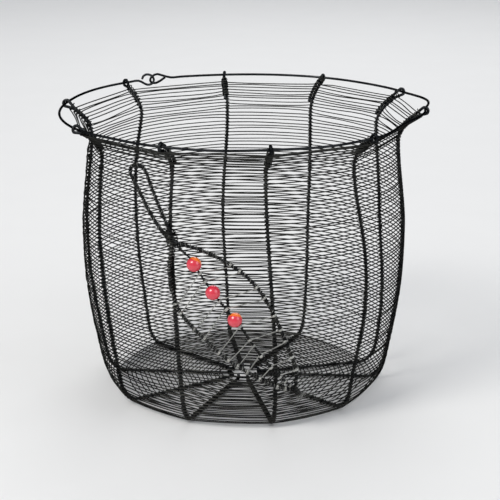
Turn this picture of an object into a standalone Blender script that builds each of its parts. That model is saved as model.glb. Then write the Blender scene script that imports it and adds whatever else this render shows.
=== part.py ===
"""Round wire basket for onions, with a wire leaf on its front.

Ten stout upright wires run from a small ring in the middle of the base to a round rim wire at the flared mouth.
Thin wire is woven round them in close rows. A leaf of bent wire, with three beads on its middle wire, is tied
to the outside. The front is -Y. Azimuths are counted from the front towards +X, anticlockwise from above.
"""

import math
from bisect import bisect

import bmesh
import bpy
from mathutils import Matrix, Vector
from mathutils.geometry import interpolate_bezier

# Body of the basket, measured to the middle of the upright wires.
RIM_RADIUS = 0.140
RIM_HEIGHT = 0.2175
NECK_RADIUS = 0.1175
NECK_HEIGHT = 0.193
BULGE_RADIUS = 0.1228
BULGE_HEIGHT = 0.128
CORNER_TOP_RADIUS = 0.1103
CORNER_TOP_HEIGHT = 0.0165
BASE_RADIUS = 0.0945
BASE_RING_RADIUS = 0.013
FLARE_ANGLE = math.radians(54)
CORNER_LEAN = math.radians(10)
# How far the handles of the four curved spans of the wall reach, from the base up, as shares of each span.
WALL_PULL_SHARES = (0.34, 0.45, 0.28, 0.36)

# Wires, as the diameters of round wire.
RIB_WIRE = 0.0020
RIM_WIRE = 0.0017
RING_WIRE = 0.0017
WEAVE_WIRE = 0.0006
LEAF_WIRE = 0.0015
MIDRIB_WIRE = 0.0012
VEIN_WIRE = 0.0004
GAP = 0.0003

# Azimuths of the ten uprights at the foot of the wall, as shares of a turn. Each is bent by hand: how much further
# round it lies at the neck, how far it bows aside between, and how much further round again its top lies.
RIB_TURN_SHARES = (0.0321, 0.1260, 0.2372, 0.2894, 0.4230, 0.5201, 0.6295, 0.7353, 0.8395, 0.9332)
RIB_TILT_SHARES = (-0.0113, -0.0086, 0.0012, 0.0317, -0.0012, -0.0026, 0.0006, 0.0028, -0.0135, -0.0049)
RIB_BOW_SHARES = (-0.0004, 0.0080, -0.0003, 0.0145, 0.0039, 0.0042, -0.0003, 0.0, 0.0055, 0.0030)
RIB_LEAN_SHARES = (0.0006, -0.0018, -0.0015, 0.0013, -0.0010, 0.0004, -0.0114, -0.0145, 0.0074, 0.0046)
# The mouth isn't quite round: how much further out each top lies, and how far the rim bows out on from there to the
# next top, as shares of the rim's radius.
RIM_REACH_SHARES = (-0.011, -0.016, -0.018, 0.006, 0.0, -0.007, 0.018, -0.010, -0.011, -0.014)
RIM_BOW_SHARES = (0.014, -0.055, 0.044, -0.007, 0.0, 0.0, 0.004, 0.0, -0.018, 0.011)

# Top end of each upright: an eye over the rim wire, and a tail down the inside of the upright.
EYE_LENGTH = 0.0070
EYE_SHOULDER_SHARE = 0.62
TAIL_LENGTH = 0.0060
# Bottom end of each upright: a hook round the base ring, as degrees round the ring's wire from its free tip on.
BASE_HOOK_DEGREES = (-250, -215, -180, -145, -115)

# Closure of the rim wire: two open hooks that hold each other.
CLOSURE_TURN_SHARE = 0.5897
HOOK_LENGTH = 0.0108
HOOK_HEIGHT = 0.0088
HOOK_OVERLAP = 0.0032
HOOK_LEAD = 0.0050
HOOK_TILT = math.radians(24)
# Points of one hook, as degrees round its oval from the free tip on.
RIM_HOOK_DEGREES = (15, 50, 85, 120, 150, 180, 210, 240, 275, 310)

# Weave.
WALL_PITCH = 0.00285
BASE_PITCH = 0.0034
WALL_LENGTHS = 8
LENGTH_GAP = 0.0006
# How far the wire is pulled straight between two uprights: on the wall, and in the flare.
BAY_PULL_SHARES = (0.06, 0.90)
# How far below and above the neck that pull changes.
PULL_FADE = (0.012, 0.016)
# How steep the wall is where the base spiral ends, and where the wall's rows start.
BASE_WEAVE_END_ANGLE = math.radians(20)
WALL_START_ANGLE = math.radians(27)

# Leaf, laid out flat on the unrolled wall: the arc from the front, and the way up the wall from the neck, where
# the stem loop begins. The arc is that of a wall of the bulge's radius.
LEAF_NECK_ARC = -0.0497
LEAF_NECK_HEIGHT = 0.1458
LEAF_LENGTH = 0.1435
LEAF_RIGHT_WIDTH = 0.0272
LEAF_LEFT_WIDTH = 0.0281
LEAF_TILT = math.radians(38.3)
STEM_LENGTH = 0.0625
STEM_WIDTH = 0.0133
STEM_TILT = math.radians(32.5)
LEAF_TIP_LIFT = 0.0020
# Where along the leaf its wires start to stand off, and where they stand off in full.
LIFT_SHARES = (0.85, 0.98)
# Where the bound tip starts and ends along the leaf, and where the stem's strands leave the neck along the stem.
TIP_SHARES = (0.985, 1.03)
STEM_FOOT_SHARE = 0.03
# Points of each edge: how far along the leaf, and how far across, as shares of its length and of that width.
RIGHT_EDGE_SHARES = ((0.045, 0.235), (0.105, 0.49), (0.20, 0.77), (0.33, 0.98), (0.46, 0.99), (0.60, 0.845),
                     (0.77, 0.585), (0.90, 0.37))
LEFT_EDGE_SHARES = ((0.025, 0.17), (0.09, 0.50), (0.18, 0.80), (0.30, 1.0), (0.47, 0.945), (0.63, 0.83),
                    (0.78, 0.60), (0.90, 0.35))
# Points of the stem loop from its left foot over its top to its right foot, as shares of its length and width.
STEM_SHARES = ((0.12, -0.24), (0.42, -0.48), (0.76, -0.58), (0.94, -0.66), (1.0, -0.38), (1.0, -0.02),
               (0.975, 0.30), (0.89, 0.42), (0.64, 0.28), (0.40, 0.19), (0.14, 0.13))

# Middle wire of the leaf and its beads.
BEAD_DIAMETER = 0.0105
BEAD_ALONG_SHARES = (0.142, 0.302, 0.472)
BEAD_ACROSS_SHARES = (0.185, 0.102, 0.071)
MIDRIB_START_SHARE = 0.035
MIDRIB_LOWER_SHARES = ((0.70, -0.06), (0.86, -0.07), (0.97, -0.01), (1.03, 0.0))
# Where the vein wire leaves the middle wire on each side, as shares of the leaf's length.
RIGHT_VEIN_SHARES = (0.190, 0.235, 0.355, 0.410, 0.520, 0.610, 0.700, 0.790, 0.870)
LEFT_VEIN_SHARES = (0.185, 0.235, 0.350, 0.405, 0.520, 0.580, 0.640, 0.700, 0.785, 0.900, 0.940)
VEIN_SWEEP = math.radians(18)

# Ties and the bound tip. The neck's tie sits this far above the neck.
TIE_WIRE = 0.0005
NECK_TIE_RISE = 0.0036
TIP_TURNS = 5
TIE_OPENING = 0.0006

THREE_SIDES = 3
FOUR_SIDES = 4
SIX_SIDES = 6
TURN_STEPS = 8
PROFILE_STEPS = 60
BEAD_RINGS = 8
BEAD_SIDES = 16


def rim_round(diameter, sides):
    """Radius round the corners of a straight-sided section with the area of round wire of this diameter."""
    return diameter / 2 * math.sqrt(2 * math.pi / (sides * math.sin(2 * math.pi / sides)))


RIB = rim_round(RIB_WIRE, SIX_SIDES)
RIM = rim_round(RIM_WIRE, SIX_SIDES)
RING = rim_round(RING_WIRE, SIX_SIDES)
WEAVE = rim_round(WEAVE_WIRE, THREE_SIDES)
LEAF = rim_round(LEAF_WIRE, SIX_SIDES)
MIDRIB = rim_round(MIDRIB_WIRE, SIX_SIDES)
VEIN = rim_round(VEIN_WIRE, THREE_SIDES)
TIE = rim_round(TIE_WIRE, FOUR_SIDES)

# The uprights lie on a flat of their section, so their middle is this high on the base.
RIB_LEVEL = RIB * math.cos(math.pi / SIX_SIDES)
HOOK_REACH = RING + GAP + RIB
EYE_REACH = RIM + GAP + RIB
SIDE_BY_SIDE = 2 * RIB + GAP
WEAVE_OUT = RIB + GAP + WEAVE
LEAF_OUT = WEAVE_OUT + WEAVE + GAP + LEAF
BEAD_OUT = WEAVE_OUT + WEAVE + GAP + BEAD_DIAMETER / 2


def clear_scene():
    for obj in list(bpy.data.objects):
        bpy.data.objects.remove(obj, do_unlink=True)


def material(name, colour, roughness, metallic):
    made = bpy.data.materials.new(name)
    made.use_nodes = True
    shader = made.node_tree.nodes["Principled BSDF"]
    shader.inputs["Base Color"].default_value = (*colour, 1)
    shader.inputs["Roughness"].default_value = roughness
    shader.inputs["Metallic"].default_value = metallic
    return made


def section(radius, sides):
    """A hidden outline that gives a wire its straight-sided section."""
    data = bpy.data.curves.new("section", "CURVE")
    data.dimensions = "2D"
    spline = data.splines.new("POLY")
    spline.points.add(sides - 1)
    for i, point in enumerate(spline.points):
        angle = 2 * math.pi * (i + 0.5) / sides
        point.co = (radius * math.sin(angle), radius * math.cos(angle), 0, 1)
    spline.use_cyclic_u = True
    guide = bpy.data.objects.new("section", data)
    bpy.context.scene.collection.objects.link(guide)
    guide.hide_render = True
    guide.display_type = "WIRE"
    return guide


def wire(name, points, profile, finish, ring=False):
    """One length of wire along these points."""
    data = bpy.data.curves.new(name, "CURVE")
    data.dimensions = "3D"
    data.twist_mode = "MINIMUM"
    data.bevel_mode = "OBJECT"
    data.bevel_object = profile
    data.use_fill_caps = True
    spline = data.splines.new("POLY")
    spline.points.add(len(points) - 1)
    for point, place in zip(spline.points, points):
        point.co = (*place, 1)
    spline.use_cyclic_u = ring
    data.materials.append(finish)
    made = bpy.data.objects.new(name, data)
    bpy.context.scene.collection.objects.link(made)
    return made


def bezier(start, start_way, end, end_way, pull_share, steps):
    """Points of a smooth span; its handles are this share of the straight distance."""
    reach = (end - start).length * pull_share
    return interpolate_bezier(start, start + start_way * reach, end - end_way * reach, end, steps)


def smooth(points, steps):
    """Points of a smooth open line through these points, with this many steps in each span."""
    made = []
    for i in range(len(points) - 1):
        before = points[max(i - 1, 0)]
        start, end = points[i], points[i + 1]
        after = points[min(i + 2, len(points) - 1)]
        out, back = (end - before) / 6, (after - start) / 6
        made += interpolate_bezier(start, start + out, end - back, end, steps + 1)[:-1]
    return made + [points[-1]]


def eased(value, start, full):
    """Rises smoothly from 0 to 1 between these two values."""
    part = min(max((value - start) / (full - start), 0.0), 1.0)
    return part * part * (3 - 2 * part)


def rim_bay(azimuth):
    """The upright before this place on the rim, the one after it, and how far it is from one to the other."""
    turn = azimuth / (2 * math.pi)
    count = len(RIB_TURN_SHARES)
    tops = [sum(shares) for shares in zip(RIB_TURN_SHARES, RIB_TILT_SHARES, RIB_LEAN_SHARES)]
    before = max(range(count), key=lambda n: -((turn - tops[n]) % 1.0))
    after = (before + 1) % count
    return before, after, ((turn - tops[before]) % 1.0) / ((tops[after] - tops[before]) % 1.0)


def mouth_reach(azimuth):
    """How much further out than its mean radius the mouth is at this azimuth, going by the tops of the uprights."""
    before, after, part = rim_bay(azimuth)
    low, high = RIM_REACH_SHARES[before], RIM_REACH_SHARES[after]
    return RIM_RADIUS * (low + (high - low) * eased(part, 0, 1))


class Wall:
    """The line that every upright follows, from the middle of the base up to the rim.

    x is the distance from the basket's axis and y the height. Places on it are named by how far along it they are.
    """

    def __init__(self):
        up, out = Vector((0, 1)), Vector((1, 0))
        lean = Vector((math.sin(CORNER_LEAN), math.cos(CORNER_LEAN)))
        flare = Vector((math.sin(FLARE_ANGLE), math.cos(FLARE_ANGLE)))
        knots = (
            (Vector((BASE_RADIUS, RIB_LEVEL)), out),
            (Vector((CORNER_TOP_RADIUS, CORNER_TOP_HEIGHT)), lean),
            (Vector((BULGE_RADIUS, BULGE_HEIGHT)), up),
            (Vector((NECK_RADIUS, NECK_HEIGHT)), up),
            (Vector((RIM_RADIUS, RIM_HEIGHT)), flare),
        )
        self.points = [Vector((0, RIB_LEVEL)), knots[0][0]]
        for (start, start_way), (end, end_way), pull_share in zip(knots, knots[1:], WALL_PULL_SHARES):
            self.points += bezier(start, start_way, end, end_way, pull_share, PROFILE_STEPS)[1:]
        self.along = [0.0]
        for before, after in zip(self.points, self.points[1:]):
            self.along.append(self.along[-1] + (after - before).length)
        self.rim = self.along[-1]
        self.base_edge = BASE_RADIUS
        self.corner = self.at_height(CORNER_TOP_HEIGHT)
        self.neck = self.at_height(NECK_HEIGHT)

    def frame(self, along):
        """The point this far along, the way up the wall there, and the way out of the basket."""
        i = min(max(bisect(self.along, along) - 1, 0), len(self.along) - 2)
        step = self.points[i + 1] - self.points[i]
        part = (along - self.along[i]) / (self.along[i + 1] - self.along[i])
        way = step.normalized()
        return self.points[i] + step * part, way, Vector((way.y, -way.x))

    def place(self, azimuth, along, out=0.0, aside=0.0, inward=0.0):
        """A point in space: out of the wall, aside on a level line, and inward towards the basket's axis."""
        point, _, outward = self.frame(along)
        flat = point + outward * out
        radial = Vector((math.sin(azimuth), -math.cos(azimuth), 0))
        level = Vector((math.cos(azimuth), math.sin(azimuth), 0))
        uneven = mouth_reach(azimuth) * eased(along, self.neck, self.rim)
        return radial * (flat.x + uneven - inward) + level * aside + Vector((0, 0, flat.y))

    def at_height(self, height):
        """How far along the wall this height is reached."""
        for i in range(len(self.points) - 1):
            low, high = self.points[i].y, self.points[i + 1].y
            if low <= height < high:
                return self.along[i] + (height - low) / (high - low) * (self.along[i + 1] - self.along[i])
        return self.along[-1]

    def at_slope(self, angle):
        """How far along the wall it first rises at this angle from the level."""
        for i in range(len(self.points) - 1):
            step = self.points[i + 1] - self.points[i]
            if math.atan2(step.y, step.x) >= angle:
                return self.along[i]
        return self.along[-1]


def rib_azimuth(wall, number, along):
    """Azimuth of an upright, which sways a little up the wall and in the flare."""
    part = min(max((along - wall.corner) / (wall.neck - wall.corner), 0.0), 1.0)
    tilt = RIB_TILT_SHARES[number] * eased(along, wall.corner, wall.neck)
    bow = RIB_BOW_SHARES[number] * math.sin(math.pi * part) ** 2
    lean = RIB_LEAN_SHARES[number] * eased(along, 2 * wall.neck - wall.rim, wall.rim)
    return 2 * math.pi * (RIB_TURN_SHARES[number] + tilt + bow + lean)


def rib_points(wall, number):
    """Middle line of one upright, from its hook on the base ring to the tail of its top eye."""
    ring_level = RIB_LEVEL + HOOK_REACH
    azimuth = rib_azimuth(wall, number, 0.0)
    radial = Vector((math.sin(azimuth), -math.cos(azimuth), 0))
    points = []
    for turn in BASE_HOOK_DEGREES:
        angle = math.radians(turn)
        reach = BASE_RING_RADIUS + HOOK_REACH * math.cos(angle)
        points.append(radial * reach + Vector((0, 0, ring_level + HOOK_REACH * math.sin(angle))))
    stops = [BASE_RING_RADIUS, wall.base_edge]
    stops += [wall.base_edge + (wall.corner - wall.base_edge) * i / 5 for i in range(1, 6)]
    bend_foot = wall.neck - (wall.rim - wall.neck) / 2
    stops += [wall.corner + (bend_foot - wall.corner) * i / 6 for i in range(1, 7)]
    eye_foot = wall.rim - EYE_LENGTH
    stops += [bend_foot + (eye_foot - bend_foot) * i / 9 for i in range(1, 10)]
    points += [wall.place(rib_azimuth(wall, number, s), s) for s in stops]

    top = rib_azimuth(wall, number, wall.rim)
    points.append(wall.place(top, wall.rim - EYE_LENGTH / 2, EYE_REACH * EYE_SHOULDER_SHARE))
    for turn in (0, 45, 90, 135, 180):
        angle = math.radians(turn)
        points.append(wall.place(top, wall.rim + EYE_REACH * math.sin(angle), EYE_REACH * math.cos(angle)))
    for along in (wall.rim - EYE_LENGTH / 2, eye_foot, eye_foot - TAIL_LENGTH):
        points.append(wall.place(rib_azimuth(wall, number, along), along, -SIDE_BY_SIDE))
    return points


def rim_place(wall, azimuth):
    """A point of the rim, which bows out or in between the tops of two uprights."""
    before, _, part = rim_bay(azimuth)
    return wall.place(azimuth, wall.rim, inward=-RIM_RADIUS * RIM_BOW_SHARES[before] * math.sin(math.pi * part) ** 2)


def hook_points(wall, azimuth, side):
    """One open hook of the rim wire, from its free tip to where it meets the rim line.

    The two hooks are one shape, turned half round. Each is tilted about the rim line, so that they link.
    """
    level = Vector((math.cos(azimuth), math.sin(azimuth), 0))
    radial = Vector((math.sin(azimuth), -math.cos(azimuth), 0))
    centre = rim_place(wall, azimuth)
    tilted = Vector((0, 0, math.cos(HOOK_TILT))) * side + radial * math.sin(HOOK_TILT)
    points = []
    for turn in RIM_HOOK_DEGREES:
        angle = math.radians(turn)
        reach = (HOOK_LENGTH - HOOK_OVERLAP) / 2 + HOOK_LENGTH / 2 * math.cos(angle)
        points.append(centre + level * side * reach + tilted * (HOOK_HEIGHT / 2 * math.sin(angle)))
    return points


def make_rim(wall, profile, finish):
    closure = 2 * math.pi * CLOSURE_TURN_SHARE
    reach = (HOOK_LENGTH - HOOK_OVERLAP / 2 + HOOK_LEAD) / RIM_RADIUS
    marks = []
    tops = [rib_azimuth(wall, n, wall.rim) for n in range(len(RIB_TURN_SHARES))]
    for i, top in enumerate(tops):
        after = tops[(i + 1) % len(tops)] + (2 * math.pi if i + 1 == len(tops) else 0)
        marks += [top + (after - top) * k / 6 for k in range(6)]
    turned = sorted((mark - closure) % (2 * math.pi) for mark in marks)
    kept = [closure + m for m in turned if reach < m < 2 * math.pi - reach]
    ends = [closure + reach, closure + 2 * math.pi - reach]
    line = [rim_place(wall, a) for a in [ends[0], *kept, ends[1]]]
    first = hook_points(wall, closure, 1)
    last = hook_points(wall, closure, -1)
    return wire("rim_hoop", first + line + last[::-1], profile, finish)


def make_ring(profile, finish):
    level = RIB_LEVEL + HOOK_REACH
    turns = [2 * math.pi * i / 24 for i in range(24)]
    points = [Vector((BASE_RING_RADIUS * math.sin(a), -BASE_RING_RADIUS * math.cos(a), level)) for a in turns]
    return wire("base_ring", points, profile, finish, ring=True)


def bay_pull(wall, along):
    """How far the wire is pulled straight between two uprights here, as a share."""
    low, high = BAY_PULL_SHARES
    below, above = PULL_FADE
    return low + (high - low) * eased(along, wall.neck - below, wall.neck + above)


def weave_points(wall, start, end, pitch, out, middles):
    """Points of thin wire that winds from one place along the wall to another, bending at each upright."""
    count = len(RIB_TURN_SHARES)
    total = int((end - start) / pitch * count)
    points = []
    for i in range(total):
        turn, number = divmod(i, count)
        along = start + pitch * (turn + RIB_TURN_SHARES[number])
        here = rib_azimuth(wall, number, along)
        points.append(wall.place(here, along, out))
        if middles:
            following = (number + 1) % count
            extra = 2 * math.pi if following == 0 else 0.0
            there = rib_azimuth(wall, following, along) + extra
            middle_along = along + pitch * (there - here) / (4 * math.pi)
            middle = wall.place((here + there) / 2, middle_along, out)
            bow = middle.xy.length * (1 - math.cos((there - here) / 2))
            inward = bay_pull(wall, middle_along) * bow
            points.append(wall.place((here + there) / 2, middle_along, out, inward=inward))
    return points


def make_weave(wall, profile, finish):
    """The base spiral, then the wall's rows as separate lengths of wire, one above the other."""
    inner = BASE_RING_RADIUS + HOOK_REACH + RIB + GAP + WEAVE
    base_end = wall.at_slope(BASE_WEAVE_END_ANGLE)
    base = weave_points(wall, inner, base_end, BASE_PITCH, -WEAVE_OUT, False)
    wire("base_weave", base, profile, finish)
    rows = wall_rows(wall)
    share = len(rows) // WALL_LENGTHS
    for n in range(WALL_LENGTHS):
        start = n * share
        stop = len(rows) if n == WALL_LENGTHS - 1 else start + share
        points = rows[start:stop]
        if stop < len(rows):
            step = rows[stop] - points[-1]
            points = points + [rows[stop] - step.normalized() * (2 * WEAVE + LENGTH_GAP)]
        wire(f"wall_weave_{n + 1}", points, profile, finish)


def wall_start(wall):
    return wall.at_slope(WALL_START_ANGLE)


def wall_rows(wall):
    top = wall.rim - EYE_LENGTH - WALL_PITCH / 2
    return weave_points(wall, wall_start(wall), top, WALL_PITCH, WEAVE_OUT, True)


def between_rows(wall, azimuth, along):
    """The nearest place midway between two rows of the wall weave."""
    offset = wall_start(wall) + WALL_PITCH * ((azimuth / (2 * math.pi)) % 1.0)
    return offset + (math.floor((along - offset) / WALL_PITCH) + 0.5) * WALL_PITCH


def leaf_flat(along, across):
    """A place of the leaf on the unrolled wall, from how far it is along and across the leaf."""
    down = Vector((math.sin(LEAF_TILT), -math.cos(LEAF_TILT)))
    right = Vector((math.cos(LEAF_TILT), math.sin(LEAF_TILT)))
    return Vector((LEAF_NECK_ARC, 0)) + down * along + right * across


def stem_flat(along, across):
    """A place of the stem loop on the unrolled wall, from how far it is along and across the stem."""
    up = Vector((-math.sin(STEM_TILT), math.cos(STEM_TILT)))
    right = Vector((math.cos(STEM_TILT), math.sin(STEM_TILT)))
    return Vector((LEAF_NECK_ARC, 0)) + up * along + right * across


def on_wall(wall, flat, out):
    """The point of the unrolled wall, this far out of the upright wires' middles."""
    return wall.place(flat.x / BULGE_RADIUS, wall.at_height(LEAF_NECK_HEIGHT) + flat.y, out)


def tip_lift(along_share):
    """How much the leaf's wires stand off near the bound tip."""
    return LEAF_TIP_LIFT * eased(along_share, *LIFT_SHARES)


def edge_points(shares, width, side):
    """One edge of the leaf from the neck to the end of the bound tip, as places along and across the leaf."""
    pair = LEAF + GAP / 2
    flats = [Vector((0.0, side * pair))]
    flats += [Vector((a * LEAF_LENGTH, side * b * width)) for a, b in shares]
    flats += [Vector((a * LEAF_LENGTH, side * pair)) for a in TIP_SHARES]
    return smooth(flats, 3)


def stem_points():
    """The stem loop from its left foot at the neck over its top to its right foot, along and across the stem."""
    pair = LEAF + GAP / 2
    foot = STEM_FOOT_SHARE * STEM_LENGTH
    flats = [Vector((foot, -pair))]
    flats += [Vector((a * STEM_LENGTH, b * STEM_WIDTH)) for a, b in STEM_SHARES]
    flats += [Vector((foot, pair))]
    return smooth(flats, 3)


def leaf_edge_in_space(wall, flats):
    return [on_wall(wall, leaf_flat(f.x, f.y), LEAF_OUT + tip_lift(f.x / LEAF_LENGTH)) for f in flats]


def outline_points(wall, left, right):
    loop = [on_wall(wall, stem_flat(f.x, f.y), LEAF_OUT) for f in stem_points()]
    return leaf_edge_in_space(wall, left[::-1]) + loop + leaf_edge_in_space(wall, right)


def bead_frames(wall):
    """Centre and axis of each bead. The axis is the way of the middle wire there."""
    centres = []
    for along, across in zip(BEAD_ALONG_SHARES, BEAD_ACROSS_SHARES):
        flat = leaf_flat(along * LEAF_LENGTH, across * LEAF_RIGHT_WIDTH)
        centres.append(on_wall(wall, flat, BEAD_OUT))
    frames = []
    for i, centre in enumerate(centres):
        before, after = centres[max(i - 1, 0)], centres[min(i + 1, len(centres) - 1)]
        frames.append((centre, (after - before).normalized()))
    return frames


def midrib_points(wall):
    start = on_wall(wall, leaf_flat(MIDRIB_START_SHARE * LEAF_LENGTH, 0), LEAF_OUT)
    points = [start]
    for centre, axis in bead_frames(wall):
        half = axis * (BEAD_DIAMETER / 2 + GAP)
        points += [centre - half, centre + half]
    tip_out = LEAF_OUT + LEAF_TIP_LIFT + LEAF + GAP + MIDRIB
    last_bead = BEAD_ALONG_SHARES[-1]
    for along, across in MIDRIB_LOWER_SHARES:
        part = min((along - last_bead) / (TIP_SHARES[0] - last_bead), 1.0)
        out = BEAD_OUT + (tip_out - BEAD_OUT) * part
        points.append(on_wall(wall, leaf_flat(along * LEAF_LENGTH, across * LEAF_RIGHT_WIDTH), out))
    return points


def make_bead(name, centre, axis, finish):
    """A round bead with a straight hole, turned about its own axis."""
    mesh = bpy.data.meshes.new(name)
    form = bmesh.new()
    hole = MIDRIB + GAP
    ball = BEAD_DIAMETER / 2
    rise = math.sqrt(ball * ball - hole * hole)
    limit = math.atan2(rise, hole)
    outer = [limit * (1 - 2 * i / BEAD_RINGS) for i in range(BEAD_RINGS + 1)]
    line = [(ball * math.cos(a), ball * math.sin(a)) for a in outer]
    verts = [form.verts.new((x, 0, z)) for x, z in line]
    edges = [form.edges.new(pair) for pair in zip(verts, verts[1:] + verts[:1])]
    bmesh.ops.spin(form, geom=verts + edges, cent=(0, 0, 0), axis=(0, 0, 1), angle=2 * math.pi,
                   steps=BEAD_SIDES, use_merge=True)
    bmesh.ops.recalc_face_normals(form, faces=form.faces)
    form.to_mesh(mesh)
    form.free()
    mesh.shade_smooth()
    mesh.set_sharp_from_angle(angle=math.radians(40))
    mesh.materials.append(finish)
    made = bpy.data.objects.new(name, mesh)
    made.matrix_world = Matrix.Translation(centre) @ axis.to_track_quat("Z", "Y").to_matrix().to_4x4()
    bpy.context.scene.collection.objects.link(made)
    return made


def line_at(points, along):
    """The place on a line of points where its first coordinate reaches this value."""
    for before, after in zip(points, points[1:]):
        if before.x <= along < after.x:
            return before.lerp(after, (along - before.x) / (after.x - before.x))
    return points[-1]


def midrib_place(wall, points, along):
    """The middle wire's point nearest to this place along the leaf."""
    wanted = on_wall(wall, leaf_flat(along, 0), BEAD_OUT)
    best = None
    for before, after in zip(points, points[1:]):
        step = after - before
        part = min(max((wanted - before).dot(step) / step.length_squared, 0.0), 1.0)
        near = before + step * part
        if best is None or (near - wanted).length < (best[0] - wanted).length:
            best = (near, step.normalized())
    return best


def vein_points(wall, shares, edge, side):
    """Points of one thin wire laced between the middle wire and one edge, starting at the edge."""
    midrib = midrib_points(wall)
    points = []
    for i, share in enumerate(shares):
        root, way = midrib_place(wall, midrib, share * LEAF_LENGTH)
        out = root.copy()
        out.z = 0
        across = out.normalized().cross(way).normalized() * side
        inner = root + across * (MIDRIB + GAP + VEIN)
        reach = share * LEAF_LENGTH
        for _ in range(4):
            width = abs(line_at(edge, reach).y)
            reach = share * LEAF_LENGTH + width * math.tan(VEIN_SWEEP)
        rim = line_at(edge, reach)
        inset = LEAF + GAP + VEIN
        flat = leaf_flat(rim.x, rim.y - side * inset)
        outer = on_wall(wall, flat, LEAF_OUT + tip_lift(rim.x / LEAF_LENGTH))
        points += [outer, inner] if i % 2 == 0 else [inner, outer]
    return points


def crossing_height(wall, line, number):
    """The height at which a line of points along the leaf first passes in front of this upright."""
    for before, after in zip(line, line[1:]):
        asides = []
        for point in (before, after):
            upright = rib_azimuth(wall, number, wall.at_height(point.z))
            asides.append(math.remainder(math.atan2(point.x, -point.y) - upright, 2 * math.pi))
        if asides[0] * asides[1] <= 0 and abs(asides[0]) < math.pi / 2:
            return before.lerp(after, asides[0] / (asides[0] - asides[1])).z
    return line[-1].z


def gathered(azimuth, height, wires):
    """How far the leaf's wires reach to each side of an upright at this height, and away from the basket's axis.

    wires holds the points and the radius of each. The nearest wire counts, and each one too close to it for a tie
    to pass between them.
    """
    radial = Vector((math.sin(azimuth), -math.cos(azimuth), 0))
    level = Vector((math.cos(azimuth), math.sin(azimuth), 0))
    lower, upper = height - TIE - GAP, height + TIE + GAP
    spans = []
    for points, radius in wires:
        for before, after in zip(points, points[1:]):
            low, high = sorted((before, after), key=lambda point: point.z)
            if low.z > upper or high.z < lower or low.dot(radial) < 0:
                continue
            rise = max(high.z - low.z, TIE)
            half = min(radius * (high - low).length / rise, 2 * radius)
            for z in (max(lower, low.z), min(upper, high.z)):
                place = low.lerp(high, min((z - low.z) / rise, 1.0))
                middle = place.dot(level)
                spans.append((middle - half, middle + half, place.dot(radial) + radius))
    spans.sort(key=lambda span: min(abs(span[0]), abs(span[1])))
    least, most, _ = spans[0]
    passage = 2 * (GAP + 2 * TIE)
    for _ in spans:
        for left, right, _ in spans:
            if left < most + passage and right > least - passage:
                least, most = min(least, left), max(most, right)
    farthest = max(away for left, right, away in spans if left >= least and right <= most)
    return least, most, farthest


def make_tie(wall, name, number, height, wires, profile, finish):
    """A short wire bent round an upright and the leaf wires in front of it, between two rows of the weave."""
    along = wall.at_height(height)
    azimuth = rib_azimuth(wall, number, along)
    row_gap = between_rows(wall, azimuth, along)
    least, most, farthest = gathered(azimuth, wall.place(azimuth, row_gap, LEAF_OUT).z, wires)
    left = min(-RIB, least) - GAP - TIE
    right = max(RIB, most) + GAP + TIE
    inner = -(RIB + GAP + TIE)
    outer = max(LEAF_OUT + LEAF, farthest - wall.place(azimuth, row_gap).xy.length) + GAP + TIE
    half_opening = TIE_OPENING / 2 + TIE
    middle = (left + right) / 2
    bend = TIE * 3
    corners = ((middle + half_opening, outer), (right, outer), (right, inner), (left, inner), (left, outer),
               (middle - half_opening, outer))
    places = [corners[0]]
    for before, corner, after in zip(corners, corners[1:], corners[2:]):
        for near in (before, after):
            gone = Vector(near) - Vector(corner)
            places.append(tuple(Vector(corner) + gone.normalized() * min(bend, gone.length / 3)))
    places.append(corners[-1])
    points = [wall.place(azimuth, row_gap, out, side) for side, out in places]
    return wire(name, points, profile, finish)


def tip_binding_points(wall):
    """Points of the thin wire wound round the leaf's three wires at its tip."""
    start, end = TIP_SHARES
    out = LEAF_OUT + LEAF_TIP_LIFT + (LEAF + GAP + MIDRIB) / 2
    reach = LEAF * 2 + GAP * 2 + TIE
    count = TIP_TURNS * TURN_STEPS
    points = []
    for i in range(count + 1):
        angle = 2 * math.pi * i / TURN_STEPS
        along = (start + (end - start) * i / count) * LEAF_LENGTH
        across = reach * math.cos(angle)
        points.append(on_wall(wall, leaf_flat(along, across), out + reach * math.sin(angle)))
    return points


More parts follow.
